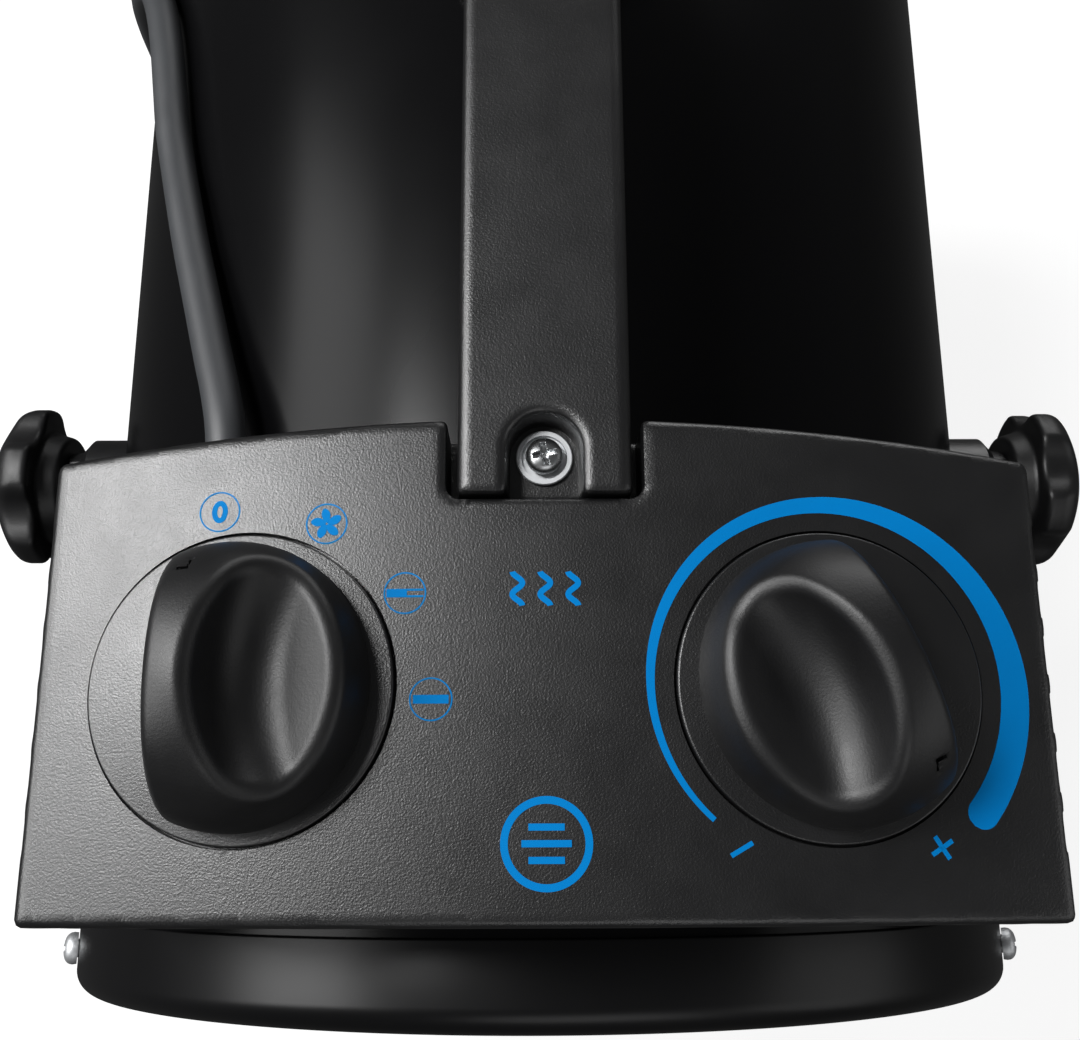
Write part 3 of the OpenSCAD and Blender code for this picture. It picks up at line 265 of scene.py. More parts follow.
# Stamped washer and ring screws, plated: pale and satin, bright from most sides.
SATIN_ZINC = Finish("satin_zinc", "#dcdee0", "#cfd1d3", (0.50, 0.56), Pattern.BRUSHED, 0.4, 0.008,
                    patch_mm=2.0, metallic=1.0)
# Galvanised sheet: pale grey with zinc crystals of a few millimetres.
GALVANISED = Finish("galvanised_sheet", "#a3a7a9", "#8d9193", (0.36, 0.52), Pattern.SPANGLE, 6.0, 0.02,
                    patch_mm=7.0, metallic=1.0)
# Stainless heating tube after use: brown and blue heat tints.
HEATING_TUBE = Finish("heating_tube", "#7a6a58", "#4c4a52", (0.38, 0.52), Pattern.BRUSHED, 0.8, 0.015,
                      patch_mm=18.0, metallic=1.0)
# Electro-galvanised motor case: mid-grey rolled steel.
MOTOR_CASE = Finish("motor_case", "#8b8e90", "#7b7e80", (0.34, 0.44), Pattern.BRUSHED, 0.8, 0.012,
                    patch_mm=16.0, metallic=1.0, stretch=(1.0, 0.08, 1.0))
# Stamped aluminium sheet: pale and softly rolled.
FAN_SHEET = Finish("fan_sheet", "#c9cccf", "#b9bcc0", (0.30, 0.40), Pattern.BRUSHED, 0.7, 0.01,
                   patch_mm=20.0, metallic=1.0, stretch=(1.0, 1.0, 0.1))
# Moulded phenolic and polyamide of switches and terminals: cream and matt.
PALE_MOULDING = Finish("pale_moulding", "#dfd7c1", "#d2c8ae", (0.48, 0.58), Pattern.GRAIN, 0.8, 0.02,
                       patch_mm=8.0)
# Nickel-plated brass pins: warm and bright.
PIN_METAL = Finish("pin_metal", "#cfc9b8", "#bfb8a4", (0.16, 0.24), Pattern.BRUSHED, 0.5, 0.006,
                   patch_mm=3.0, metallic=1.0)
# Pad-printed ink on the panel: plain blue, a little rough from the grain under it.
BLUE_INK = Finish("blue_ink", "#0075bb", "#0071b5", (0.56, 0.64), Pattern.GRAIN, 0.34, 0.01, patch_mm=5.0,
                  specular=0.05)

# The finishes that nodes of the frame wear, each by its own slot.
FINISHES = (GLOSS_PAINT, SATIN_PAINT, GRAINED_PLASTIC, KNOB_PLASTIC, RUBBER, CORD_SHEATH, ZINC, GALVANISED,
            HEATING_TUBE, MOTOR_CASE, FAN_SHEET, PALE_MOULDING, PIN_METAL)


def unit(vectors: Array) -> Array:
    """Vectors along the last axis, scaled to length one."""
    return vectors / np.linalg.norm(vectors, axis=-1, keepdims=True)


def compass(angle: Array) -> Array:
    """Unit directions in a plane: (cos a, sin a) for each angle a."""
    return np.stack([np.cos(angle), np.sin(angle)], -1)


def headings(path: Array, looped: bool) -> Array:
    """Unit directions along a path, each from the point before to the point after."""
    return unit(np.roll(path, -1, 0) - np.roll(path, 1, 0) if looped else np.gradient(path, axis=0))


def lengths_along(path: Array) -> Array:
    """Length along a path from its start to each of its points."""
    return np.concatenate([[0.0], np.cumsum(np.linalg.norm(np.diff(path, axis=0), axis=1))])


def eased(share: Array) -> Array:
    """A share from 0 to 1 with a soft start and end: three times its square less twice its cube."""
    return share * share * (3 - 2 * share)


def ribbing(along: Array, first: float, pitch: float, wave: tuple[float, float]) -> Array:
    """Depth from 0 to 1 of moulded grooves: a cosine of the pitch, times wave's gain less its offset."""
    return np.clip(np.cos((along - first) * 2 * np.pi / pitch) * wave[0] - wave[1], 0, 1)


@dataclass(frozen=True)
class Placement:
    """A place in the frame: an origin in millimetres and the directions of its own x, y and z."""

    origin: tuple[float, float, float]
    x: tuple[float, float, float] = (1.0, 0.0, 0.0)
    y: tuple[float, float, float] = (0.0, 1.0, 0.0)
    z: tuple[float, float, float] = (0.0, 0.0, 1.0)

    def rows(self) -> Array:
        """The three directions as the rows of a matrix."""
        return np.array([self.x, self.y, self.z], float)

    def out(self, local: Array) -> Array:
        """Points given along the place's own directions, in the frame."""
        return np.asarray(local) @ self.rows() + np.array(self.origin)


@dataclass
class Surface:
    """Points in millimetres, with the quads and triangles between them."""

    points: Array
    quads: Array
    triangles: Array = field(default_factory=lambda: np.zeros((0, 3), int))

    def __add__(self, other: "Surface") -> "Surface":
        """Both surfaces as one.

        Args:
            other: The surface that is added.

        Returns:
            A new surface.
        """
        shift = len(self.points)
        return Surface(np.vstack([self.points, other.points]), np.vstack([self.quads, other.quads + shift]),
                       np.vstack([self.triangles, other.triangles + shift]))

    def placed(self, place: Placement) -> "Surface":
        """The surface set down at a place."""
        return Surface(place.out(self.points), self.quads, self.triangles)


def joined(surfaces: list[Surface]) -> Surface:
    """Several surfaces as one.

    Args:
        surfaces: The surfaces, at least one.

    Returns:
        All their points and faces.
    """
    whole = surfaces[0]
    for surface in surfaces[1:]:
        whole = whole + surface
    return whole


def grid_surface(points: Array, wrap_u: bool = False, wrap_v: bool = False) -> Surface:
    """Quads between the neighbours of a grid of points.

    Args:
        points: Array of nu by nv points. Faces look along the u step crossed with the v step.
        wrap_u: Whether the last row joins the first.
        wrap_v: Whether the last column joins the first.

    Returns:
        The surface.
    """
    index = np.arange(points.shape[0] * points.shape[1]).reshape(points.shape[:2])
    index = np.vstack([index, index[:1]]) if wrap_u else index
    index = np.hstack([index, index[:, :1]]) if wrap_v else index
    quads = np.stack([index[:-1, :-1], index[1:, :-1], index[1:, 1:], index[:-1, 1:]], -1)
    return Surface(points.reshape(-1, 3), quads.reshape(-1, 4))


def lathe(profile: Array, place: Placement, turns: int = 96, closed: bool = False) -> Surface:
    """Revolves a profile: a point is (r cos a, r sin a, h) for each (r, h) of it and each angle a.

    Args:
        profile: Rows of radius and height, counter-clockwise so that faces look out.
        place: Where the axis stands; it runs along the place's z.
        turns: Number of steps round the axis.
        closed: Whether the profile's end joins its start.

    Returns:
        The revolved surface.
    """
    angle = np.linspace(0, 2 * np.pi, turns, endpoint=False)[:, None]
    radius, height = profile[None, :, 0], profile[None, :, 1]
    points = np.stack([radius * np.cos(angle), radius * np.sin(angle), height + 0 * angle], -1)
    return grid_surface(points, wrap_u=True, wrap_v=closed).placed(place)


def arc(centre: tuple[float, float], radius: float, start: float, end: float, steps: int = 9) -> Array:
    """Points of an arc in a profile's plane, by its centre, radius and two angles in degrees."""
    return np.array(centre) + radius * compass(np.radians(np.linspace(start, end, steps)))


def smooth_path(points: Array, step: float, fine: int = 24) -> Array:
    """Catmull-Rom curve through points, cut again at equal steps along its length.

    Args:
        points: Points that the curve passes through.
        step: Greatest length of a step.
        fine: Number of steps between two of the points before the curve is cut again.

    Returns:
        Points along the curve.
    """
    ends = np.vstack([2 * points[0] - points[1], points, 2 * points[-1] - points[-2]])
    before, here, ahead, after = (ends[i:len(ends) - 3 + i, None, :] for i in range(4))
    t = np.linspace(0, 1, fine, endpoint=False)[None, :, None]
    curve = 0.5 * (2 * here + (ahead - before) * t + (2 * before - 5 * here + 4 * ahead - after) * t ** 2
                   + (3 * here - before - 3 * ahead + after) * t ** 3)
    curve = np.vstack([curve.reshape(-1, 3), points[-1:]])
    along = lengths_along(curve)
    even = np.linspace(0, along[-1], math.ceil(along[-1] / step) + 1)
    return np.stack([np.interp(even, along, curve[:, k]) for k in range(3)], 1)


def sweep(path: Array, section: Array, first_side: tuple[float, float, float],
          looped: bool = False) -> Surface:
    """Carries a section along a path: a point is path + side * s + up * t for each (s, t) of the section.

    The side turns as little as it can from step to step, and up is the path's way crossed with the side.

    Args:
        path: Points of the path.
        section: Rows of (s, t), counter-clockwise, or one such outline for each point of the path.
        first_side: Direction of the section's s at the start.
        looped: Whether the path's end joins its start. If not, both ends are closed.

    Returns:
        The swept surface.
    """
    way = headings(path, looped)
    side = np.empty_like(path)
    carried = np.array(first_side, float)
    for i, direction in enumerate(way):
        carried = unit(carried - direction * (carried @ direction))
        side[i] = carried
    up = np.cross(way, side)
    outline = np.broadcast_to(section, (len(path), *section.shape[-2:]))
    points = path[:, None] + side[:, None] * outline[..., :1] + up[:, None] * outline[..., 1:]
    surface = grid_surface(points.transpose(1, 0, 2), wrap_u=True, wrap_v=looped)
    if looped:
        return surface
    count, length = outline.shape[1], len(path)
    ring = np.arange(count) * length
    following = np.roll(ring, -1)
    middle = len(surface.points)
    surface.points = np.vstack([surface.points, points.mean(1)[[0, -1]]])
    surface.triangles = np.vstack([
        np.stack([np.full(count, middle), following, ring], 1),
        np.stack([np.full(count, middle + 1), ring + length - 1, following + length - 1], 1)])
    return surface


def circle(radius: float, count: int) -> Array:
    """Outline of a circle, counter-clockwise."""
    return radius * compass(np.linspace(0, 2 * np.pi, count, endpoint=False))


def join(a: Array, b: Array, r: float = 0.0) -> Array:
    """Union of two distance fields, with a fillet of radius r in the corner between them."""
    return np.maximum(r, np.minimum(a, b)) - np.hypot(np.maximum(r - a, 0), np.maximum(r - b, 0))


def meet(a: Array, b: Array, r: float = 0.0) -> Array:
    """What two distance fields share, with a rounded edge of radius r where they meet."""
    return np.minimum(-r, np.maximum(a, b)) + np.hypot(np.maximum(r + a, 0), np.maximum(r + b, 0))


def cut(a: Array, b: Array, r: float = 0.0) -> Array:
    """The first field without the second, with a rounded edge of radius r."""
    return meet(a, -b, r)


@dataclass
class FieldSolid:
    """A moulded piece as the zero surface of a distance field, in millimetres.

    The field is sampled on a cubic grid. Each cell that the surface crosses gets one point: the
    least-squares meeting point of the tangent planes where the surface cuts the cell's edges, so that
    edges stay crisp. Each grid edge that is cut gives one quad between the four cells round it.
    Stiffness pulls a point to the middle of its cell's cuts, reach is the share of a step over which
    slopes are measured, and settle the share of a step that a point may move onto the surface at last.
    """

    shape: Field
    low: tuple[float, float, float]
    high: tuple[float, float, float]
    step: float
    stiffness: float = 0.03
    reach: float = 0.02
    halvings: int = 10
    settle: float = 0.25
    least_slope: float = 1e-12

    def gradient(self, points: Array) -> Array:
        """Outward directions of the field at points, by central differences.

        Args:
            points: Rows of x, y and z.

        Returns:
            A unit vector for each of them.
        """
        around = np.eye(3) * (self.step * self.reach)
        slope = np.stack([self.value(points + d) - self.value(points - d) for d in around], -1)
        return slope / np.maximum(np.linalg.norm(slope, axis=-1, keepdims=True), self.least_slope)

    def value(self, points: Array) -> Array:
        """The field at rows of points."""
        return self.shape(points[:, 0], points[:, 1], points[:, 2])

    def crossings(self, start: Array, end: Array) -> Array:
        """Where the surface cuts grid edges, by halving each edge towards its change of sign.

        Args:
            start: First ends of the edges.
            end: Second ends of the edges.

        Returns:
            The points where the field is zero.
        """
        below = self.value(start) < 0
        for _ in range(self.halvings):
            middle = (start + end) / 2
            same = ((self.value(middle) < 0) == below)[:, None]
            start, end = np.where(same, middle, start), np.where(same, end, middle)
        return (start + end) / 2

    def surface(self) -> Surface:
        """Works out the closed surface.

        Returns:
            The surface, its faces looking out.
        """
        low = np.array(self.low) - 2 * self.step
        counts = np.ceil((np.array(self.high) - low) / self.step).astype(int) + 3
        axes = [low[k] + self.step * np.arange(counts[k]) for k in range(3)]
        inside = self.shape(*np.meshgrid(*axes, indexing="ij")) < 0
        cells = counts - 1
        strides = np.array([cells[1] * cells[2], cells[2], 1])
        owners, spots, slopes, rings = [], [], [], []
        for k in range(3):
            first = np.moveaxis(inside, k, 0)
            where = np.argwhere(np.moveaxis(first[:-1] != first[1:], 0, k))
            start = low + self.step * where
            end = start + self.step * np.eye(3)[k]
            spot = self.crossings(start, end)
            slope = self.gradient(spot)
            a, b = np.eye(3, dtype=int)[(k + 1) % 3], np.eye(3, dtype=int)[(k + 2) % 3]
            ring = np.stack([(where - back) @ strides for back in (a + b, b, 0 * a, a)], 1)
            leaving = inside[tuple(where.T)][:, None]
            rings.append(np.where(leaving, ring, ring[:, ::-1]))
            owners.append(ring.ravel())
            spots.append(np.repeat(spot, 4, 0))
            slopes.append(np.repeat(slope, 4, 0))
        owner, spot, slope = np.concatenate(owners), np.vstack(spots), np.vstack(slopes)
        used, number = np.unique(owner, return_inverse=True)
        points = self.meeting_points(used, number, spot, slope, low, cells)
        quads = np.searchsorted(used, np.vstack(rings))
        return Surface(points, quads)

    def meeting_points(self, used: Array, number: Array, spot: Array, slope: Array, low: Array,
                       cells: Array) -> Array:
        """Least-squares meeting point of the tangent planes in each cell, kept inside the cell.

        Args:
            used: Flat index of each cell that has a point.
            number: For each cut, the position of its cell in used.
            spot: Where the cuts are.
            slope: Directions of the surface there.
            low: Lowest corner of the grid.
            cells: Number of cells each way.

        Returns:
            One point for each used cell.
        """
        count = np.bincount(number).astype(float)
        mass = np.stack([np.bincount(number, spot[:, k]) for k in range(3)], 1) / count[:, None]
        off = np.einsum("ij,ij->i", slope, spot - mass[number])
        pull = np.stack([np.bincount(number, slope[:, k] * off) for k in range(3)], 1)
        matrix = np.stack([[np.bincount(number, slope[:, i] * slope[:, j]) for j in range(3)]
                           for i in range(3)])
        matrix = matrix.transpose(2, 0, 1) + np.eye(3) * (self.stiffness * count)[:, None, None]
        points = mass + np.linalg.solve(matrix, pull[..., None])[..., 0]
        corner = low + self.step * np.stack(np.unravel_index(used, cells), 1)
        points = np.clip(points, corner, corner + self.step)
        most = self.step * self.settle
        return points - self.gradient(points) * np.clip(self.value(points)[:, None], -most, most)


def make_piece(name: str, surface: Surface, finish: Finish, body: Body, replaced: tuple[str, ...] = (),
               sharp: float = 38.0) -> bpy.types.Object:
    """Makes a surface into an object that rides on a body.

    Args:
        name: Name of the piece.
        surface: Its surface in millimetres, in the frame.
        finish: Its finish.
        body: The body that it rides on.
        replaced: Nodes that it stands for.
        sharp: Angle in degrees past which an edge is drawn sharp.

    Returns:
        The object.
    """
    obj = mesh_object(name, surface, finish.material(), sharp)
    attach(obj, body.value)
    if replaced:
        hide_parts(*replaced)
    LOG.info("%s on %s, %d faces", name, body.value, len(obj.data.polygons))
    return obj


def mesh_object(name: str, surface: Surface, material: bpy.types.Material,
                sharp: float) -> bpy.types.Object:
    """Makes a surface into an object, its doubled points merged and its faces smooth.

    Args:
        name: Name of the object.
        surface: Its surface in millimetres.
        material: Its material.
        sharp: Angle in degrees past which an edge is drawn sharp.

    Returns:
        The object, at the origin.
    """
    mesh = bpy.data.meshes.new(name)
    faces = surface.quads.tolist() + surface.triangles.tolist()
    mesh.from_pydata((surface.points * MM).tolist(), [], faces)
    work = bmesh.new()
    work.from_mesh(mesh)
    bmesh.ops.remove_doubles(work, verts=work.verts, dist=MERGE_WITHIN)
    work.to_mesh(mesh)
    work.free()
    mesh.materials.append(material)
    mesh.polygons.foreach_set("use_smooth", np.ones(len(mesh.polygons), bool))
    mesh.set_sharp_from_angle(angle=math.radians(sharp))
    mesh.update()
    return link_object(name, mesh)


@dataclass
class Drum:
    """The sheet drum with its end rings and their screws."""

    radius: float = 110.0
    wall: float = 1.0
    axis_z: float = 180.0
    half_len: float = 155.0
    inset: float = 5.5
    ring_w: float = 16.0
    ring_wall: float = 0.8
    roll_r: float = 5.0
    lip_w: float = 7.0
    screw_in: float = 9.5
    screw_head_r: float = 3.5
    screw_angles: tuple[float, ...] = (20.0, 160.0, 270.0)
    stations: int = 40
    station_in: float = 2.0
    turns: int = 256
    sharp: float = 50.0

    def outside(self, x: Array, z: Array) -> Array:
        """Field of what lies outside the drum, clear of its skin by the seat gap."""
        return self.radius + SEAT_GAP - np.hypot(x, z - self.axis_z)

    def rear_end(self) -> Placement:
        """Place of the rear end: its z runs forwards."""
        return Placement((0, -self.half_len, self.axis_z), (1, 0, 0), (0, 0, -1), (0, 1, 0))

    def front_end(self) -> Placement:
        """Place of the front end: its z runs backwards."""
        return Placement((0, self.half_len, self.axis_z), (1, 0, 0), (0, 0, 1), (0, -1, 0))

    def ring_profile(self) -> Array:
        """Closed profile of an end ring: collar with a beaded inner end, rolled edge and lip.

        Returns:
            Rows of radius and height.
        """
        inner = self.radius + SEAT_GAP
        outer = inner + self.ring_wall
        roll_at = (outer - self.roll_r, self.roll_r)
        lip = roll_at[0] - self.lip_w
        half = self.ring_wall / 2
        return np.vstack([
            arc((lip, half), half, 270, 90, 5),
            arc(roll_at, self.roll_r - self.ring_wall, 270, 360, 13),
            arc((inner + half, self.ring_w - half), half, 180, 0, 7),
            arc(roll_at, self.roll_r, 360, 270, 17)])[::-1]

    def build(self) -> None:
        """Makes the drum, the two rings and the ring screws."""
        long = 2 * (self.half_len - self.inset)
        low, inner, fold = self.inset, self.radius - self.wall, self.wall / 2
        middle = self.radius - fold
        profile = np.vstack([
            arc((middle, low + fold), fold, 180, 360, 5),
            arc((middle, low + long - fold), fold, 0, 180, 5), [[inner, low + fold]]])
        stations = np.linspace(low + self.station_in, low + long - self.station_in, self.stations)
        outer_wall = np.stack([np.full(self.stations, self.radius), stations], 1)
        profile = np.vstack([profile[:5], outer_wall, profile[5:]])
        make_piece("drum_skin", lathe(profile, self.rear_end(), self.turns, True), GLOSS_PAINT, Body.HEATER,
                   ("drum_shell",), self.sharp)
        for name, place in (("rear_ring", self.rear_end()), ("front_ring", self.front_end())):
            make_piece(f"{name}_rolled", lathe(self.ring_profile(), place, self.turns, True), RING_PAINT,
                       Body.HEATER, (name,), self.sharp)
        seat = self.radius + 2 * SEAT_GAP + self.ring_wall
        screw, along = CrossScrew(head_r=self.screw_head_r), (0, 1, 0)
        heads = []
        for y in (self.screw_in - self.half_len, self.half_len - self.screw_in):
            for angle in np.radians(self.screw_angles):
                out = (math.cos(angle), 0.0, math.sin(angle))
                origin = (seat * out[0], y, self.axis_z + seat * out[2])
                heads.append(screw.surface(Placement(origin, along, tuple(np.cross(out, along)), out)))
        make_piece("ring_screws_zinc", joined(heads), SATIN_ZINC, Body.HEATER, ("ring_screws",))


@dataclass
class CrossScrew:
    """A pan head screw with a cross recess."""

    shank_r: float = 2.0
    shank_len: float = 7.0
    head_r: float = 4.0
    head_h: float = 3.0
    edge_h: float = 0.9
    cross_half_w: float = 0.55
    cross_reach: float = 2.1
    cross_depth: float = 1.4
    cross_wall: float = 0.25
    cross_deepest: float = 1.15
    cross_fall: float = 1.6
    dome_power: float = 2.6
    point_share: float = 0.6
    point_len: float = 0.8
    under_share: float = 0.97
    rings: int = 29
    turns: int = 96

    def surface(self, place: Placement) -> Surface:
        """Makes the head, a height over polar rings, and the shank under it.

        The height is a flattened dome less a cross that gets shallower outwards.

        Args:
            place: Where the head's seat is; its z runs out of the head.

        Returns:
            The screw's closed surface.
        """
        share = np.linspace(0, 1, self.rings)[None, :]
        angle = np.linspace(0, 2 * np.pi, self.turns, endpoint=False)[:, None]
        radius = share * self.head_r
        x, y = radius * np.cos(angle), radius * np.sin(angle)
        curve = np.sqrt(np.clip(1 - share ** self.dome_power, 0, 1))
        dome = self.edge_h + (self.head_h - self.edge_h) * curve
        across = np.minimum(np.abs(x), np.abs(y)) - self.cross_half_w
        along = np.maximum(np.abs(x), np.abs(y)) - self.cross_reach
        wall = np.clip(-np.maximum(across, along) / self.cross_wall, 0, 1)
        fall = radius / (self.cross_fall * self.cross_reach)
        deep = self.cross_depth * np.clip(self.cross_deepest - fall, 0, 1)
        points = np.stack([x, y, dome - wall * deep], -1)[:, ::-1]
        end = -self.shank_len
        skirt = np.array([[0.0, end], [self.shank_r * self.point_share, end],
                          [self.shank_r, end + self.point_len], [self.shank_r, 0.0],
                          [self.head_r * self.under_share, 0.0], [self.head_r, self.edge_h]])
        return grid_surface(points, wrap_u=True).placed(place) + lathe(skirt, place, self.turns)


@dataclass
class Panel:
    """The arched panel of the control housing: its shape, and where things sit on it."""

    crown_z: float = 330.0
    arch_r: float = 500.0
    dial_y: float = -100.6
    selector_x: float = -45.5
    thermostat_x: float = 42.5

    def height(self, x: Array) -> Array:
        """Height of the arch across the panel: a circle of radius arch_r through the crown."""
        return self.crown_z - self.arch_r + np.sqrt(self.arch_r ** 2 - np.square(x))

    def on_dial(self, x: float, turn: float = 0.0) -> Placement:
        """Place of a dial at x: its z runs out of the panel and its y points at a turn from the rear.

        Args:
            x: Place across the panel.
            turn: Turn about the dial's axis in degrees, counter-clockwise.

        Returns:
            The place.
        """
        lean = math.asin(x / self.arch_r)
        across = np.array([math.cos(lean), 0, -math.sin(lean)])
        along = np.array([0.0, 1.0, 0.0])
        c, s = math.cos(math.radians(turn)), math.sin(math.radians(turn))
        return Placement((x, self.dial_y, float(self.height(np.array(x)))), tuple(c * across + s * along),
                         tuple(c * along - s * across), (math.sin(lean), 0.0, math.cos(lean)))


PANEL = Panel()
DRUM = Drum()


@dataclass
class ControlHousing:
    """The moulded housing under the panel, with its dial wells, handle notch and side vents."""

    half_w: float = 77.5
    near_y: float = -135.0
    far_y: float = -59.0
    bow_r: float = 540.0
    wall: float = 2.5
    edge_r: float = 1.3
    well_r: float = 23.6
    well_depth: float = 2.2
    well_floor: float = 2.5
    rim_reach: float = 0.42
    shaft_hole_r: float = 3.6
    notch_half_w: float = 15.2
    notch_y: float = -72.0
    notch_corner_r: float = 2.2
    notch_edge_r: float = 0.9
    pocket: float = 3.0
    vent_count: int = 6
    vent_pitch: float = 8.8
    vent_len: float = 6.6
    vent_h: float = 13.0
    vent_first_in: float = 13.0
    vent_drop: float = 1.2
    vent_corner_r: float = 0.6
    vent_edge_r: float = 0.3
    outlet_x: float = -62.0
    outlet_clear: float = 0.7
    gland_bed: float = 9.0
    gland_r: float = 7.0
    gland_tip_r: float = 5.2
    gland_tip_edge: float = 0.4
    gland_inner: float = 8.0
    gland_bores: tuple[float, float] = (4.2, 4.05)
    gland_collar: tuple[float, float] = (1.8, 2.0)
    groove_end: float = 0.6
    groove_depth: float = 0.6
    groove_pitch: float = 2.6
    groove_wave: tuple[float, float] = (1.6, 0.4)
    groove_points: int = 60
    gland_turns: int = 64
    spare_z: float = 2.0
    step: float = 0.9
    sharp: float = 48.0

    def wall_front(self, x: Array) -> Array:
        """Place of the bowed front wall: a circle of radius bow_r seen from above."""
        return self.far_y - self.bow_r + np.sqrt(self.bow_r ** 2 - np.square(x))

    def outlet(self) -> tuple[float, float, float]:
        """Middle of the cord outlet in the front wall, just clear of the drum.

        Returns:
            Its x, y and z.
        """
        reach = DRUM.radius + self.gland_r + self.outlet_clear
        return (self.outlet_x, float(self.wall_front(np.array(self.outlet_x))),
                DRUM.axis_z + math.sqrt(reach ** 2 - self.outlet_x ** 2))

    def shape(self, x: Array, y: Array, z: Array) -> Array:
        """Field of a hollow, round-edged block with an arched top and a bowed front that sits on the drum.

        Args:
            x: Places across.
            y: Places from rear to front.
            z: Heights.

        Returns:
            The field, below zero inside.
        """
        top = np.hypot(x, z - PANEL.crown_z + PANEL.arch_r) - PANEL.arch_r
        front = np.hypot(x, y - self.far_y + self.bow_r) - self.bow_r
        side = np.abs(x) - self.half_w
        rear = self.near_y - y
        walls = meet(side, np.maximum(front, rear), self.edge_r)
        block = meet(walls, top, self.edge_r)
        hollow = np.maximum.reduce([side, front, rear, top]) + self.wall
        wells = np.full_like(block, np.inf)
        holes = np.full_like(block, np.inf)
        for dial_x in (PANEL.selector_x, PANEL.thermostat_x):
            place = PANEL.on_dial(dial_x)
            u = (x - dial_x) * place.x[0] + (z - place.origin[2]) * place.x[2]
            w = (x - dial_x) * place.z[0] + (z - place.origin[2]) * place.z[2]
            radius = np.hypot(u, y - PANEL.dial_y)
            boss = np.maximum(radius - self.well_r - self.wall, -w - self.well_depth - self.well_floor)
            hollow = np.maximum(hollow, -boss)
            wells = np.minimum(wells, np.maximum(radius - self.well_r, -w - self.well_depth))
            holes = np.minimum(holes, radius - self.shaft_hole_r)
        hollow = np.maximum(hollow, -self.notch(x, y, z, self.pocket))
        body = np.maximum(cut(block, hollow), DRUM.outside(x, z))
        body = cut(body, self.notch(x, y, z, 0.0), self.notch_edge_r)
        body = cut(cut(body, wells), holes)
        body = cut(body, np.hypot(x, y - HANDLE_SCREW_Y) - SCREW_HOLE_R)
        out = self.outlet()
        gland = np.hypot(x - out[0], z - out[2]) - self.gland_r - SEAT_GAP
        gland = np.maximum(gland, self.far_y - self.gland_bed - y)
        return cut(cut(body, gland), self.vents(x, y, z), self.vent_edge_r)

    def notch(self, x: Array, y: Array, z: Array, grow: float) -> Array:
        """Field of the notch that takes the handle's rear end, or of the pocket round it."""
        plan = meet(np.abs(x) - self.notch_half_w - grow, self.notch_y - grow - y, self.notch_corner_r)
        return np.maximum(plan, HANDLE_LOW_Z - grow - z)

    def vents(self, x: Array, y: Array, z: Array) -> Array:
        """Field of the vent slots: one slot, repeated along both side walls at the vent pitch.

        Args:
            x: Places across.
            y: Places from rear to front.
            z: Heights.

        Returns:
            The field, below zero inside.
        """
        first = self.near_y + self.vent_first_in
        nearest = np.clip(np.round((y - first) / self.vent_pitch), 0, self.vent_count - 1)
        along = np.abs(y - first - nearest * self.vent_pitch) - self.vent_len / 2
        top = float(PANEL.height(np.array(self.half_w))) - self.vent_drop
        high = np.abs(z - top + self.vent_h / 2) - self.vent_h / 2
        through = self.half_w - 2 * self.wall - np.abs(x)
        return np.maximum(meet(along, high, self.vent_corner_r), through)

    def build(self) -> None:
        """Makes the housing and the cord gland in its front wall."""
        low_z = DRUM.axis_z + math.sqrt(DRUM.radius ** 2 - self.half_w ** 2) - self.spare_z
        solid = FieldSolid(self.shape, (-self.half_w, self.near_y, low_z),
                           (self.half_w, self.far_y, PANEL.crown_z), self.step)
        surface = solid.surface()
        surface.points = self.trued(surface.points)
        make_piece("control_housing_moulded", surface, GRAINED_PLASTIC, Body.HEATER, ("control_housing",),
                   self.sharp)
        make_piece("cord_gland_ribbed", self.gland(), RUBBER, Body.HEATER, ("cord_gland",))

    def trued(self, points: Array) -> Array:
        """Moves points near a well's rim to the exact circle on the arch, so that the rim is a clean line.

        Args:
            points: Points of the housing.

        Returns:
            The points, those near a rim moved.
        """
        points = points.copy()
        for dial_x in (PANEL.selector_x, PANEL.thermostat_x):
            place = PANEL.on_dial(dial_x)
            local = (points - np.array(place.origin)) @ place.rows().T
            radius = np.hypot(local[:, 0], local[:, 1])
            depth = PANEL.height(points[:, 0]) - points[:, 2]
            near = (np.abs(radius - self.well_r) < self.rim_reach) & (np.abs(depth) < self.rim_reach)
            local[near, :2] *= (self.well_r / radius[near])[:, None]
            moved = place.out(local[near])
            moved[:, 2] = PANEL.height(moved[:, 0])
            points[near] = moved
        return points

    def gland(self) -> Surface:
        """Ribbed gland: a tapering revolved profile whose radius drops at its grooves.

        Returns:
            The gland, in its place.
        """
        wide, tip, inner = self.gland_r, self.gland_tip_r, -self.gland_inner
        edge, first = self.gland_collar
        along = np.linspace(first, GLAND_LEN - self.groove_end, self.groove_points)
        taper = np.interp(along, [first, GLAND_LEN], [wide, tip])
        groove = self.groove_depth * ribbing(along, first, self.groove_pitch, self.groove_wave)
        profile = np.vstack([
            [[self.gland_bores[0], inner], [wide, inner], [wide, edge]], np.stack([taper - groove, along], 1),
            [[tip - self.gland_tip_edge, GLAND_LEN], [self.gland_bores[1], GLAND_LEN]]])
        place = Placement(self.outlet(), (1, 0, 0), (0, 0, -1), (0, 1, 0))
        return lathe(profile, place, self.gland_turns, True)


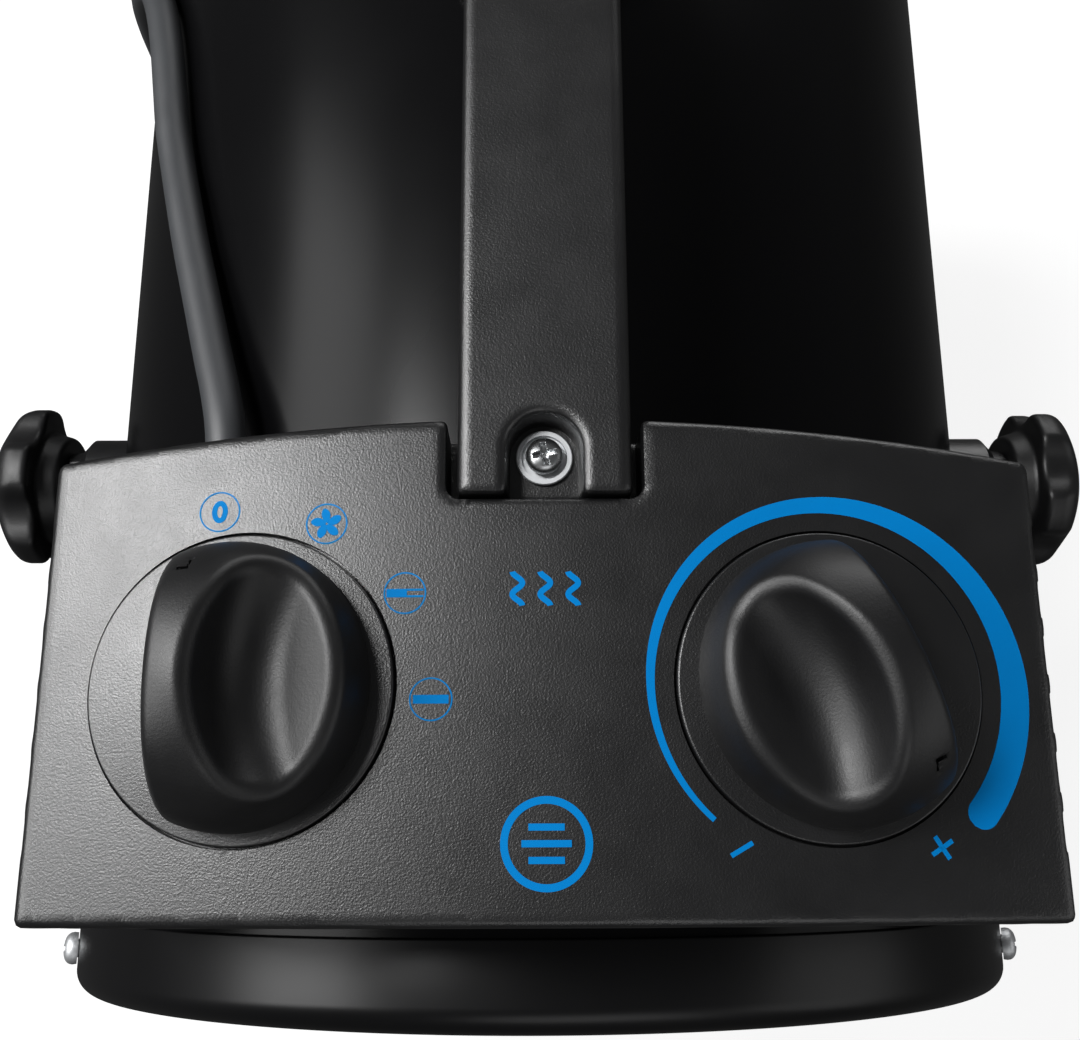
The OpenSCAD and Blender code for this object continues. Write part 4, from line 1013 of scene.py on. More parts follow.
@dataclass
class PanelPrint:
    """The blue print round the dials: marks for the switch positions, a warmth scale and plain signs."""

    ink: float = 0.05
    sunk: float = 0.3
    mark_r: float = 28.6
    mark_angles: tuple[float, ...] = (99.5, 65.0, 31.5, -2.0)
    marks_back: float = 1.2
    mark_ring_r: float = 3.1
    ring_line: float = 0.22
    ring_points: int = 72
    bar_w: float = 1.3
    bar_points: int = 24
    half_bar_ends: tuple[float, float] = (-0.9, 0.1)
    full_bar_ends: tuple[float, float] = (-0.85, 0.85)
    outline_half: float = 0.5
    outline_start: float = 0.3
    outline_end: float = 0.9
    outline_line: float = 0.3
    nought_half: tuple[float, float] = (0.84, 1.38)
    nought_line: float = 0.8
    nought_points: int = 64
    blades: int = 5
    blade_run: tuple[float, float] = (0.15, 2.3)
    blade_swing: float = 0.2
    blade_w: tuple[float, float] = (0.1, 1.25)
    blade_powers: tuple[float, float] = (1.15, 0.6)
    blade_points: int = 24
    scale_inner_r: float = 26.4
    scale_ends: tuple[float, float] = (227.0, -40.5)
    scale_widths: tuple[tuple[float, float], ...] = (
        (-43, 4.8), (0, 4.4), (90, 2.6), (180, 1.25), (227, 0.8))
    scale_points: int = 160
    tip_points: int = 12
    tip_blunt: float = 1.0001
    waves_at: tuple[float, float] = (0.0, -86.3)
    wave_half_len: float = 2.6
    wave_gap: float = 4.2
    wave_swing: float = 0.75
    wave_pitch: float = 3.5
    wave_line: float = 0.9
    wave_points: int = 40
    air_at: tuple[float, float] = (0.0, -123.4)
    air_ring_r: float = 6.1
    air_line: float = 1.1
    air_bars: tuple[tuple[float, float], ...] = ((2.6, 2.3), (3.6, 0.0), (2.6, -2.3))
    air_bar_w: float = 1.0
    minus_ends: tuple[tuple[float, float], ...] = ((26.4, -125.2), (29.6, -123.4))
    plus_at: tuple[float, float] = (57.6, -124.2)
    plus_half: tuple[float, float] = (1.6, 1.0)
    sign_line: float = 0.7

    def band(self, line: Array, half: Array | float, closed: bool = False) -> Surface:
        """A band of ink: points at the line plus and minus its half width, on the arch and just under it.

        Args:
            line: Rows of x and y along the band.
            half: Half width at each of them, or one for all.
            closed: Whether the band's end joins its start.

        Returns:
            The closed band.
        """
        way = headings(line, closed)
        left = np.stack([-way[:, 1], way[:, 0]], 1) * np.broadcast_to(half, len(line))[:, None]
        edges = []
        for side, lift in ((left, -self.sunk), (left, self.ink), (-left, self.ink), (-left, -self.sunk)):
            flat = line + side
            edges.append(np.column_stack([flat, PANEL.height(flat[:, 0]) + lift]))
        surface = grid_surface(np.stack(edges), wrap_u=True, wrap_v=closed)
        if not closed:
            corner = np.arange(4) * len(line)
            surface.quads = np.vstack([surface.quads, corner[::-1], corner + len(line) - 1])
        return surface

    def ring(self, centre: Array, radius: float, line: float) -> Surface:
        """A round line of ink."""
        return self.band(centre + circle(radius, self.ring_points), line / 2, True)

    def bar(self, start: Array, end: Array, width: float) -> Surface:
        """A straight bar of ink between two places."""
        return self.band(np.linspace(start, end, self.bar_points), width / 2)

    def nought(self, centre: Array) -> Surface:
        """The figure 0: a closed oval line, taller than wide."""
        oval = circle(1.0, self.nought_points) * np.array(self.nought_half)
        return self.band(centre + oval, self.nought_line / 2, True)

    def fan_sign(self, centre: Array) -> Surface:
        """A fan: each blade is a band that swells from the middle as a sine and closes at its tip.

        Args:
            centre: Its middle, by x and y on the panel.

        Returns:
            The blades as one surface.
        """
        share = np.linspace(0, 1, self.blade_points)
        skew, fullness = self.blade_powers
        width = self.blade_w[0] + self.blade_w[1] * np.sin(np.pi * share ** skew) ** fullness
        run = (self.blade_run[0] + self.blade_run[1] * share)[:, None]
        turns = np.radians(90 + 360 / self.blades * np.arange(self.blades))
        return joined([self.band(centre + run * compass(turn + self.blade_swing * share), width / 2)
                       for turn in turns])

    def warmth_scale(self, centre: Array) -> Surface:
        """The tapered scale: a band round the dial that grows from a fine line to a broad, round end.

        Args:
            centre: The dial's middle, by x and y on the panel.

        Returns:
            The scale.
        """
        angle = np.linspace(*self.scale_ends, self.scale_points)
        width = np.interp(angle, *np.array(self.scale_widths).T)
        line = centre + (self.scale_inner_r + width / 2)[:, None] * compass(np.radians(angle))
        tip = np.linspace(0, 1, self.tip_points)[1:]
        way = unit(line[-1] - line[-2])
        line = np.vstack([line, line[-1] + way * (tip * width[-1] / 2)[:, None]])
        half = np.concatenate([width / 2, width[-1] / 2 * np.sqrt(self.tip_blunt - tip ** 2)])
        return self.band(line, half)

    def heat_waves(self, centre: Array) -> Surface:
        """Three wavy lines side by side: x swings as a sine along y.

        Args:
            centre: Its middle, by x and y on the panel.

        Returns:
            The lines as one surface.
        """
        along = np.linspace(-self.wave_half_len, self.wave_half_len, self.wave_points)
        swing = self.wave_swing * np.sin(along * 2 * np.pi / self.wave_pitch)
        return joined([self.band(centre + np.stack([x + swing, along], 1), self.wave_line / 2)
                       for x in (-self.wave_gap, 0.0, self.wave_gap)])

    def air_sign(self, centre: Array) -> Surface:
        """A ring with three bars of different lengths.

        Args:
            centre: Its middle, by x and y on the panel.

        Returns:
            Ring and bars as one surface.
        """
        bars = [self.bar(centre + np.array([-w, y]), centre + np.array([w, y]), self.air_bar_w)
                for w, y in self.air_bars]
        return joined([self.ring(centre, self.air_ring_r, self.air_line), *bars])

    def build(self) -> None:
        """Makes the print as one thin piece for each group of marks."""
        selector = np.array([PANEL.selector_x, PANEL.dial_y - self.marks_back])
        thermostat = np.array([PANEL.thermostat_x, PANEL.dial_y])
        spots = selector + self.mark_r * compass(np.radians(self.mark_angles))
        marks = [self.ring(spot, self.mark_ring_r, self.ring_line) for spot in spots]
        marks += [self.nought(spots[0]), self.fan_sign(spots[1])]
        across = np.array([self.mark_ring_r, 0.0])
        for spot, (start, end) in zip(spots[2:], (self.half_bar_ends, self.full_bar_ends)):
            marks.append(self.bar(spot + across * start, spot + across * end, self.bar_w))
        for y in (self.outline_half, -self.outline_half):
            start = spots[2] + np.array([self.outline_start, y])
            end = spots[2] + across * self.outline_end + np.array([0, y])
            marks.append(self.bar(start, end, self.outline_line))
        minus = self.bar(*np.array(self.minus_ends), self.sign_line)
        plus_at, (long, short) = np.array(self.plus_at), self.plus_half
        plus = [self.bar(plus_at - way, plus_at + way, self.sign_line)
                for way in (np.array([long, short]), np.array([-short, long]))]
        groups = {
            "selector_marks": joined(marks),
            "warmth_scale": joined([self.warmth_scale(thermostat), minus, *plus]),
            "panel_signs": self.heat_waves(np.array(self.waves_at)) + self.air_sign(np.array(self.air_at)),
        }
        for name, surface in groups.items():
            make_piece(name, surface, BLUE_INK, Body.HEATER)


@dataclass
class DialKnob:
    """A dial knob: a flat grained skirt and a domed grip, cut off on one side and scooped on the other."""

    name: str
    x: float
    turn: float
    body: Body
    skirt_r: float = 23.2
    skirt_t: float = 2.2
    rise: float = 0.4
    grip_r: float = 21.3
    grip_h: float = 20.5
    narrow: float = 1.08
    dome_power: float = 2.2
    cut_foot: float = 9.5
    cut_lean: float = 0.117
    ridge_r: float = 1.5
    scoop_top: tuple[float, float] = (-0.6, 20.9)
    scoop_rim: tuple[float, float] = (17.3, 11.0)
    scoop_slopes: tuple[float, float] = (5.0, 0.3)
    scoop_bow: float = 4.6
    scoop_bow_at: float = 17.0
    scoop_half: float = 23.0
    scoop_lift: float = 9.0
    scoop_r: float = 8.0
    scoop_edge_r: float = 2.0
    tick_at: tuple[float, float] = (-4.0, 14.4)
    tick_legs: tuple[tuple[float, float, float], ...] = ((0.0, 0.95, 0.26), (0.75, 0.22, 0.85))
    tick_depth: float = 0.6
    foot: float = 0.3
    bore_r: float = 3.02
    rim_r: float = 0.35
    under_edge: float = 0.2
    turns: int = 160
    step: float = 0.45

    def scoop(self, x: Array, y: Array, z: Array) -> Array:
        """Field of the thumb scoop: what lies above a steep face and a dished flank that curve with y.

        Args:
            x: Places to the right of the pointer.
            y: Places towards the pointer.
            z: Heights out of the panel.

        Returns:
            The field, below zero inside.
        """
        steep, gentle = self.scoop_slopes
        bowed = x - self.scoop_bow * np.square(y / self.scoop_bow_at)
        rise = self.scoop_lift * (1 - np.sqrt(np.clip(1 - np.square(y / self.scoop_half), 0, 1)))
        face = self.scoop_top[1] - steep * (bowed - self.scoop_top[0]) - z
        flank = self.scoop_rim[1] + gentle * (bowed - self.scoop_rim[0]) + rise - z
        return meet(face / math.hypot(1, steep), flank / math.hypot(1, gentle), self.scoop_r)

    def shape(self, x: Array, y: Array, z: Array) -> Array:
        """The grip's field along its own directions: y towards the pointer, x to its right, z out.

        The dome is where (radius / grip_r) ** p + (height / grip_h) ** p is one, p being the dome's power.
        On the scooped side x counts for more in the radius, so that the grip is narrower there.

        Args:
            x: Places to the right of the pointer.
            y: Places towards the pointer.
            z: Heights out of the panel.

        Returns:
            The field, below zero inside.
        """
        radius = np.hypot(np.where(x > 0, self.narrow * x, x), y)
        high = np.maximum(z - self.rise, 0)
        p = self.dome_power
        dome = ((radius / self.grip_r) ** p + (high / self.grip_h) ** p) ** (1 / p) - 1
        dome = dome * self.grip_h
        wall = (self.cut_lean * z - self.cut_foot - x) / math.hypot(1, self.cut_lean)
        grip = meet(np.maximum(dome, self.rise - self.foot - z), wall, self.ridge_r)
        grip = cut(grip, self.scoop(x, y, z), self.scoop_edge_r)
        return cut(grip, np.maximum(self.tick(x, y), -dome - self.tick_depth))

    def tick(self, x: Array, y: Array) -> Array:
        """Field in plan of the pointer's small notch: two legs, each by its shift and half sizes.

        Args:
            x: Places to the right of the pointer.
            y: Places towards the pointer.

        Returns:
            The field, below zero inside.
        """
        legs = [np.maximum(np.abs(x - self.tick_at[0] - shift) - half_x,
                           np.abs(y - self.tick_at[1] - half_y) - half_y)
                for shift, half_x, half_y in self.tick_legs]
        return np.minimum.reduce(legs)

    def skirt(self) -> Surface:
        """The skirt: a revolved disc with a round rim and a bore for the shaft.

        Returns:
            The skirt, in its place.
        """
        low, bore, wide, r = self.rise - self.skirt_t, self.bore_r, self.skirt_r, self.rim_r
        profile = np.vstack([[[bore, low], [wide - self.under_edge, low], [wide, low + self.under_edge]],
                             arc((wide - r, self.rise - r), r, 0, 90, 6), [[bore, self.rise]]])
        return lathe(profile, PANEL.on_dial(self.x, self.turn), self.turns, True)

    def build(self) -> None:
        """Makes the skirt and the grip at their rest turn."""
        reach = self.grip_r
        solid = FieldSolid(self.shape, (-reach, -reach, self.rise - self.foot),
                           (reach, reach, self.rise + self.grip_h), self.step)
        surface = solid.surface().placed(PANEL.on_dial(self.x, self.turn))
        make_piece(f"{self.name}_grip", surface, KNOB_PLASTIC, self.body, (self.name,), sharp=62)
        make_piece(f"{self.name}_skirt", self.skirt(), GRAINED_PLASTIC, self.body)


@dataclass
class CarryHandle:
    """The carrying handle: a bar from the housing's notch that bends down to a foot on the drum."""

    half_w: float = 13.5
    thick: float = 13.0
    rear_y: float = -71.5
    front_y: float = 41.2
    bend_r: float = 14.0
    edge_r: float = 1.8
    rear_edge_r: float = 1.0
    foot_half: tuple[float, float] = (18.5, 15.0)
    foot_t: float = 4.0
    foot_corner_r: float = 7.0
    foot_edge_r: float = 1.2
    foot_fillet_r: float = 2.0
    recess_r: float = 5.4
    recess_depth: float = 6.0
    recess_draft: float = 0.1
    recess_edge_r: float = 1.1
    screw_turn: float = 12.0
    screw_lens: tuple[float, float] = (16.0, 13.0)
    screw_heads: tuple[float, float] = (2.95, 3.1)
    washer_r: float = 4.5
    washer_t: float = 0.8
    washer_floor: float = 0.1
    washer_edges: tuple[float, float] = (0.2, 0.15)
    washer_rim: tuple[float, float] = (0.85, 0.92)
    spare_z: float = 3.0
    step: float = 0.7

    def foot_y(self) -> float:
        """Middle of the foot and of the post over it."""
        return self.front_y + self.bend_r + self.thick / 2

    def seat_z(self) -> float:
        """Height of the recess floor, where the washer lies."""
        return HANDLE_LOW_Z + self.thick - self.recess_depth

    def shape(self, x: Array, y: Array, z: Array) -> Array:
        """Field of a round-edged section along bar, bend and post, with a foot and the screw recess.

        Args:
            x: Places across.
            y: Places from rear to front.
            z: Heights.

        Returns:
            The field, below zero inside.
        """
        turn_z = HANDLE_LOW_Z - self.bend_r
        reach = np.hypot(y - self.front_y, z - turn_z) - self.bend_r
        through = np.where(z > turn_z, np.where(y > self.front_y, reach, z - HANDLE_LOW_Z),
                           y - self.front_y - self.bend_r)
        slab = np.abs(through - self.thick / 2) - self.thick / 2
        bar = meet(np.abs(x) - self.half_w, slab, self.edge_r)
        bar = meet(bar, self.rear_y - y, self.rear_edge_r)
        foot = meet(np.abs(x) - self.foot_half[0], np.abs(y - self.foot_y()) - self.foot_half[1],
                    self.foot_corner_r)
        foot = meet(foot, z - DRUM.axis_z - DRUM.radius - self.foot_t, self.foot_edge_r)
        body = np.maximum(join(bar, foot, self.foot_fillet_r), DRUM.outside(x, z))
        wall = self.slot(x, y, self.recess_r) - self.recess_draft * (z - self.seat_z())
        body = cut(body, np.maximum(wall, self.seat_z() - z), self.recess_edge_r)
        return cut(body, np.hypot(x, y - HANDLE_SCREW_Y) - SCREW_HOLE_R)

    def slot(self, x: Array, y: Array, radius: float) -> Array:
        """Field in plan of a slot round the screw, open towards the rear."""
        back = np.minimum(y - HANDLE_SCREW_Y, 0)
        return np.hypot(x, y - HANDLE_SCREW_Y - back) - radius

    def screws(self) -> Surface:
        """The recess screw, turned a little, and the foot's screw from inside the drum.

        Returns:
            Both screws as one surface.
        """
        upper, lower = (CrossScrew(shank_len=length, head_r=head, head_h=2.4, edge_h=0.7, cross_half_w=0.5,
                                   cross_reach=1.9, cross_depth=1.3)
                        for length, head in zip(self.screw_lens, self.screw_heads))
        c, s = compass(np.radians(self.screw_turn))
        inside = DRUM.axis_z + DRUM.radius - 2 * DRUM.wall - SEAT_GAP
        top = Placement((0, HANDLE_SCREW_Y, self.seat_z() + self.washer_t), (c, s, 0), (-s, c, 0))
        below = Placement((0, self.foot_y(), inside), (1, 0, 0), (0, -1, 0), (0, 0, -1))
        return upper.surface(top) + lower.surface(below)

    def washer(self) -> Surface:
        """The cupped washer: a revolved ring with a thin floor and a raised rim.

        Returns:
            The washer, in its place.
        """
        ring, hole, top, floor = self.washer_r, SCREW_HOLE_R, self.washer_t, self.washer_floor
        (under, over), (crest, foot) = self.washer_edges, self.washer_rim
        profile = np.array([
            [hole, 0.0], [ring - under, 0.0], [ring, under], [ring, top - over], [ring - over, top],
            [ring - crest, top], [ring - foot, floor], [hole, floor]])
        return lathe(profile, Placement((0, HANDLE_SCREW_Y, self.seat_z())), closed=True)

    def build(self) -> None:
        """Makes the handle, its screws and the washer."""
        low_z, far_y = DRUM.axis_z + DRUM.radius - self.spare_z, self.foot_y() + self.foot_half[1]
        solid = FieldSolid(self.shape, (-self.foot_half[0], self.rear_y, low_z),
                           (self.foot_half[0], far_y, HANDLE_LOW_Z + self.thick), self.step)
        make_piece("carry_handle_moulded", solid.surface(), GRAINED_PLASTIC, Body.HEATER, ("carry_handle",),
                   sharp=34)
        make_piece("handle_screws_zinc", self.screws(), ZINC, Body.HEATER, ("handle_screws",))
        make_piece("handle_washer_cupped", self.washer(), SATIN_ZINC, Body.HEATER, ("handle_washer",))


@dataclass
class ClampKnob:
    """A lobed clamp knob with a domed face, on a round hub."""

    name: str
    side: int
    body: Body
    inner_x: float = 129.6
    radius: float = 22.0
    lobes: int = 5
    lobe_r: float = 2.6
    hollow_r: float = 9.0
    hollow_out: float = 0.55
    face_edge_r: float = 2.2
    back_edge_r: float = 1.6
    hub_r: float = 14.0
    hub_flare: float = 0.3
    hub_len: float = 5.2
    hub_into: float = 2.0
    hub_edge_r: float = 0.8
    head_t: float = 14.2
    dome_h: float = 7.5
    bore_r: float = 4.3
    bore_len: float = 14.2
    step: float = 0.7

    def shape(self, x: Array, y: Array, z: Array) -> Array:
        """The knob's field along its own directions: z runs out from the stand's arm.

        Args:
            x: Places across the knob.
            y: Places across it the other way.
            z: Places out from the arm.

        Returns:
            The field, below zero inside.
        """
        radius = np.hypot(x, y)
        sector = 2 * np.pi / self.lobes
        off = np.mod(np.arctan2(y, x), sector) - sector / 2
        hollow_at = self.radius + self.hollow_out * self.hollow_r
        hollow = np.hypot(radius * np.cos(off) - hollow_at, radius * np.sin(off)) - self.hollow_r
        outline = cut(radius - self.radius, hollow, self.lobe_r)
        ball_r = (self.radius ** 2 + self.dome_h ** 2) / (2 * self.dome_h)
        top = self.hub_len + self.head_t
        dome = np.sqrt(radius ** 2 + (z - top + ball_r) ** 2) - ball_r
        head = meet(meet(outline, dome, self.face_edge_r), self.hub_len - z, self.back_edge_r)
        hub = meet(radius - self.hub_r - self.hub_flare * z, -z, self.hub_edge_r)
        hub = np.maximum(hub, z - self.hub_len - self.hub_into)
        bore = np.maximum(radius - self.bore_r, z - self.bore_len)
        return cut(join(head, hub, self.hub_edge_r), bore)

    def build(self) -> None:
        """Makes the knob on its side of the stand."""
        r = self.radius
        solid = FieldSolid(self.shape, (-r, -r, 0), (r, r, self.hub_len + self.head_t), self.step)
        place = Placement((self.side * self.inner_x, PIVOT_Y, DRUM.axis_z), (0, 0, -self.side), (0, 1, 0),
                          (self.side, 0, 0))
        make_piece(f"{self.name}_moulded", solid.surface().placed(place), KNOB_PLASTIC, self.body,
                   (self.name,), sharp=34)


@dataclass
class TubeStand:
    """The stand of one bent tube, with flattened arm ends and rubber feet."""

    tube_r: float = 8.0
    rail_z: float = 12.0
    arm_x: float = 127.5
    rear_y: float = -120.0
    front_y: float = 130.0
    arm_bend_r: float = 32.0
    corner_r: float = 40.0
    end_half_t: float = 2.0
    end_r: float = 10.0
    end_power: float = 5.0
    tip_start: float = 0.02
    flat_len: float = 22.0
    taper_len: float = 16.0
    bend_points: int = 25
    taper_points: int = 34
    tip_points: int = 12
    around: int = 32
    pad_r: float = 13.0
    pad_len: float = 26.0
    pad_wrap: float = 3.0
    pad_spare_z: float = 4.0
    pad_under_r: float = 1.0
    pad_end_r: float = 1.2
    pad_lip_r: float = 0.8
    tread_half_w: float = 0.7
    tread_depth: float = 1.0
    tread_edge_r: float = 0.2
    pad_step: float = 0.8

    def corner(self, at: Array, before: Array, after: Array, radius: float) -> Array:
        """Points of a tube bend: the arc of a radius that touches both straights at a corner.

        Args:
            at: Where the two straight lines meet.
            before: A point on the first line.
            after: A point on the second line.
            radius: Bend radius of the tube's middle.

        Returns:
            Points from the first line to the second.
        """
        back, ahead = unit(before - at), unit(after - at)
        half = math.acos(float(back @ ahead)) / 2
        middle = at + unit(back + ahead) * radius / math.sin(half)
        out = unit(at - middle)
        across = unit(ahead - out * (ahead @ out))
        angle = np.linspace(half - np.pi / 2, np.pi / 2 - half, self.bend_points)[:, None]
        return middle + radius * (np.cos(angle) * out + np.sin(angle) * across)

    def path(self) -> Array:
        """Middle line of the whole tube, from the left arm's end round to the right one's.

        Returns:
            Rows of x, y and z.
        """
        left = np.array([
            [-self.arm_x, PIVOT_Y, DRUM.axis_z], [-self.arm_x, self.rear_y, self.rail_z],
            [-self.arm_x, self.front_y, self.rail_z], [self.arm_x, self.front_y, self.rail_z]])
        way = unit(left[1] - left[0])
        start = left[0] - way * self.end_r
        near = left[0] + way * np.linspace(0, self.flat_len + self.taper_len, self.taper_points)[:, None]
        angle = np.linspace(self.tip_start, np.pi / 2, self.tip_points, endpoint=False)
        tip = start + way * (self.end_r * (1 - np.cos(angle)))[:, None]
        bend = self.corner(left[1], left[0], left[2], self.arm_bend_r)
        turn = self.corner(left[2], left[1], left[3], self.corner_r)
        half = np.vstack([tip, near, bend, turn])
        other = half[::-1] * np.array([-1.0, 1.0, 1.0])
        return np.vstack([half, other])

    def tube(self) -> Surface:
        """The tube: a superellipse carried along its path, flat at the arm ends and round elsewhere.

        A point of the section is (t sign(c) |c|^p, w sign(s) |s|^p), c and s being the cosine and sine of
        its angle, t and w the half thickness and half width, and p falling as the section gets flatter.

        Returns:
            The tube with closed ends.
        """
        path = self.path()
        from_start = lengths_along(path)
        from_end = np.minimum(from_start, from_start[-1] - from_start)
        ease = eased(np.clip((from_end - self.end_r - self.flat_len) / self.taper_len, 0, 1))[:, None]
        tip = np.clip(1 - from_end / self.end_r, 0, 1)
        round_end = np.sqrt(np.clip(1 - tip * tip, 0, 1))[:, None]
        half_t = self.end_half_t + (self.tube_r - self.end_half_t) * ease
        half_w = (self.end_r + (self.tube_r - self.end_r) * ease) * round_end
        power = 2 / (self.end_power + (2.0 - self.end_power) * ease)
        turn = circle(1.0, self.around)
        bulged = np.sign(turn) * np.abs(turn) ** power[..., None]
        return sweep(path, np.stack([half_t, half_w], -1) * bulged, (1, 0, 0))

    def feet(self) -> Surface:
        """The four rubber feet, just past the arm bends and just short of the front corners.

        Returns:
            All four as one surface.
        """
        half = self.pad_len / 2
        slope = math.atan2(DRUM.axis_z - self.rail_z, PIVOT_Y - self.rear_y)
        reach = self.arm_bend_r / math.tan(slope / 2)
        places = (self.rear_y + reach + half, self.front_y - self.corner_r - half)
        solid = FieldSolid(self.foot, (-self.pad_r, -half, 0),
                           (self.pad_r, half, self.rail_z + self.pad_spare_z), self.pad_step)
        foot = solid.surface()
        return joined([foot.placed(Placement((x, y, 0))) for x in (-self.arm_x, self.arm_x) for y in places])

    def foot(self, x: Array, y: Array, z: Array) -> Array:
        """Field of a foot: a round sleeve, flat below and open above, with round ends and two grooves.

        Args:
            x: Places across the tube.
            y: Places along the tube.
            z: Heights.

        Returns:
            The field, below zero inside.
        """
        radius = np.hypot(x, z - self.rail_z)
        outer = meet(radius - self.pad_r, -z, self.pad_under_r)
        sleeve = cut(outer, radius - self.tube_r - SEAT_GAP)
        ends = meet(sleeve, np.abs(y) - self.pad_len / 2, self.pad_end_r)
        body = meet(ends, z - self.rail_z - self.pad_wrap, self.pad_lip_r)
        tread = np.maximum(np.abs(np.abs(y) - self.pad_len / 6) - self.tread_half_w, z - self.tread_depth)
        return cut(body, tread, self.tread_edge_r)

    def build(self) -> None:
        """Makes the tube and the four rubber feet."""
        make_piece("stand_frame_tube", self.tube(), SATIN_PAINT, Body.STAND, ("stand_frame",), sharp=45)
        make_piece("stand_feet_moulded", self.feet(), RUBBER, Body.STAND, ("stand_feet",), sharp=34)


@dataclass
class MainsLead:
    """The mains cord: from its gland over the drum, down to the floor, into its coil and on to the plug."""

    cord_d: float = 8.0
    coil_at: tuple[float, float] = (8.0, 60.0)
    coil_inner_r: float = 36.0
    coil_pitch: float = 8.8
    coil_turn_back: float = 2.25
    coil_turns: float = 4.25
    coil_low_z: float = 5.4
    coil_layer: float = 8.6
    climb_rate: float = 2.0
    steps_per_turn: int = 24
    path_step: float = 2.5
    around: int = 16
    plug_at: tuple[float, float] = (74.0, -30.0)
    plug_turn: float = -98.0
    plug_slope: float = 11.0
    plug_form: tuple[tuple[float, float], ...] = ((0.0, 5.5), (22.0, 8.0), (40.0, 17.6))
    plug_mouth_r: float = 4.6
    plug_first: float = 0.6
    plug_body_r: float = 18.5
    plug_shoulder: float = 40.0
    plug_land: float = 6.0
    plug_len: float = 56.0
    plug_edge_r: float = 2.0
    plug_face: tuple[float, float, float] = (12.0, 11.6, 0.5)
    plug_waist: tuple[float, float, float] = (31.0, 8.0, 0.8)
    plug_points: int = 90
    rib_run: tuple[float, float] = (3.0, 19.0)
    rib_pitch: float = 3.0
    rib_depth: float = 0.55
    rib_wave: tuple[float, float] = (1.5, 0.3)
    floor_lift: float = 0.2
    tie_turn: float = 0.5
    tie_turns: float = 2.0
    tie_half_w: float = 4.5
    tie_t: float = 1.0
    tie_gap: float = 1.0
    tie_flat: float = 0.3
    route: tuple[tuple[float, float, float], ...] = (
        (-63, -42, 279.5), (-65, -34, 277.5), (-67.5, -26, 275), (-70.5, -16, 272), (-73.5, -6, 269),
        (-76.5, 4, 266), (-79.5, 15, 263), (-82.5, 26, 259.5), (-85.5, 38, 256.5), (-88, 51, 253.5),
        (-90.5, 64, 250.5), (-93.5, 76, 246.5), (-97.5, 87, 240.5), (-102.5, 96.5, 232),
        (-108, 104.5, 220), (-112.5, 110.5, 206), (-115.5, 114.5, 190), (-117, 116.5, 172),
        (-117.5, 116, 154), (-117.5, 114, 136), (-117.5, 111.5, 118), (-117, 109, 100),
        (-115.5, 106.5, 82), (-112.5, 104.5, 65), (-107.5, 103.5, 49), (-100.5, 103.5, 35.5),
        (-91.5, 104.5, 24.5), (-81, 106.5, 16.3), (-69, 109, 10.4), (-56, 111.5, 6.8),
        (-43, 113.7, 5.4), (-29, 115.2, 5.4), (-15, 115.8, 5.4))
    last_route: tuple[tuple[float, float, float], ...] = (
        (62.5, 42, 13.4), (64, 32, 11.6), (66.5, 22, 9), (69.5, 11, 7), (72, 0, 6.3), (73.6, -10, 7))

    def coil_r(self, turn: Array) -> Array:
        """Radius of the coil: it falls at a steady rate to the turn-back and then grows again."""
        return self.coil_inner_r + self.coil_pitch * np.abs(turn - self.coil_turn_back)

    def coil(self) -> Array:
        """Points of the coil: a spiral in and out again that climbs one layer round the turn-back.

        Returns:
            Rows of x, y and z.
        """
        turn = np.arange(round(self.coil_turns * self.steps_per_turn) + 1) / self.steps_per_turn
        climb = np.clip(self.climb_rate * (turn - self.coil_turn_back) + 0.5, 0, 1)
        height = self.coil_low_z + self.coil_layer * eased(climb)
        flat = np.array(self.coil_at) + self.coil_r(turn)[:, None] * compass(2 * np.pi * turn)[:, ::-1]
        wound = np.column_stack([flat, height])
        start = wound[:1] - np.array([self.cord_d, 0, 0])
        finish = wound[-1:] - np.array([0, self.cord_d, 0])
        return np.vstack([start, wound, finish])

    def plug_place(self) -> Placement:
        """Place of the plug's cord end: its z runs along the plug, which rests on its shoulder.

        Returns:
            The place.
        """
        lean = math.radians(self.plug_slope)
        turn = math.radians(self.plug_turn)
        way = np.array([math.cos(turn) * math.cos(lean), math.sin(turn) * math.cos(lean), math.sin(lean)])
        across = np.array([-math.sin(turn), math.cos(turn), 0.0])
        low = self.plug_body_r * math.cos(lean) - self.plug_shoulder * math.sin(lean)
        tail = (*self.plug_at, self.floor_lift + low)
        return Placement(tail, tuple(np.cross(across, way)), tuple(across), tuple(way))

    def path(self) -> Array:
        """Middle line of the whole cord, in millimetres.

        Returns:
            Rows of x, y and z, a step apart.
        """
        out = np.array(HOUSING.outlet()) + np.array([0, GLAND_LEN, 0])
        plug = self.plug_place()
        tail = np.array(plug.origin)
        before = tail - np.array(plug.z) * self.cord_d
        points = np.vstack([out, self.route, self.coil(), self.last_route, before, tail])
        return smooth_path(points, self.path_step)

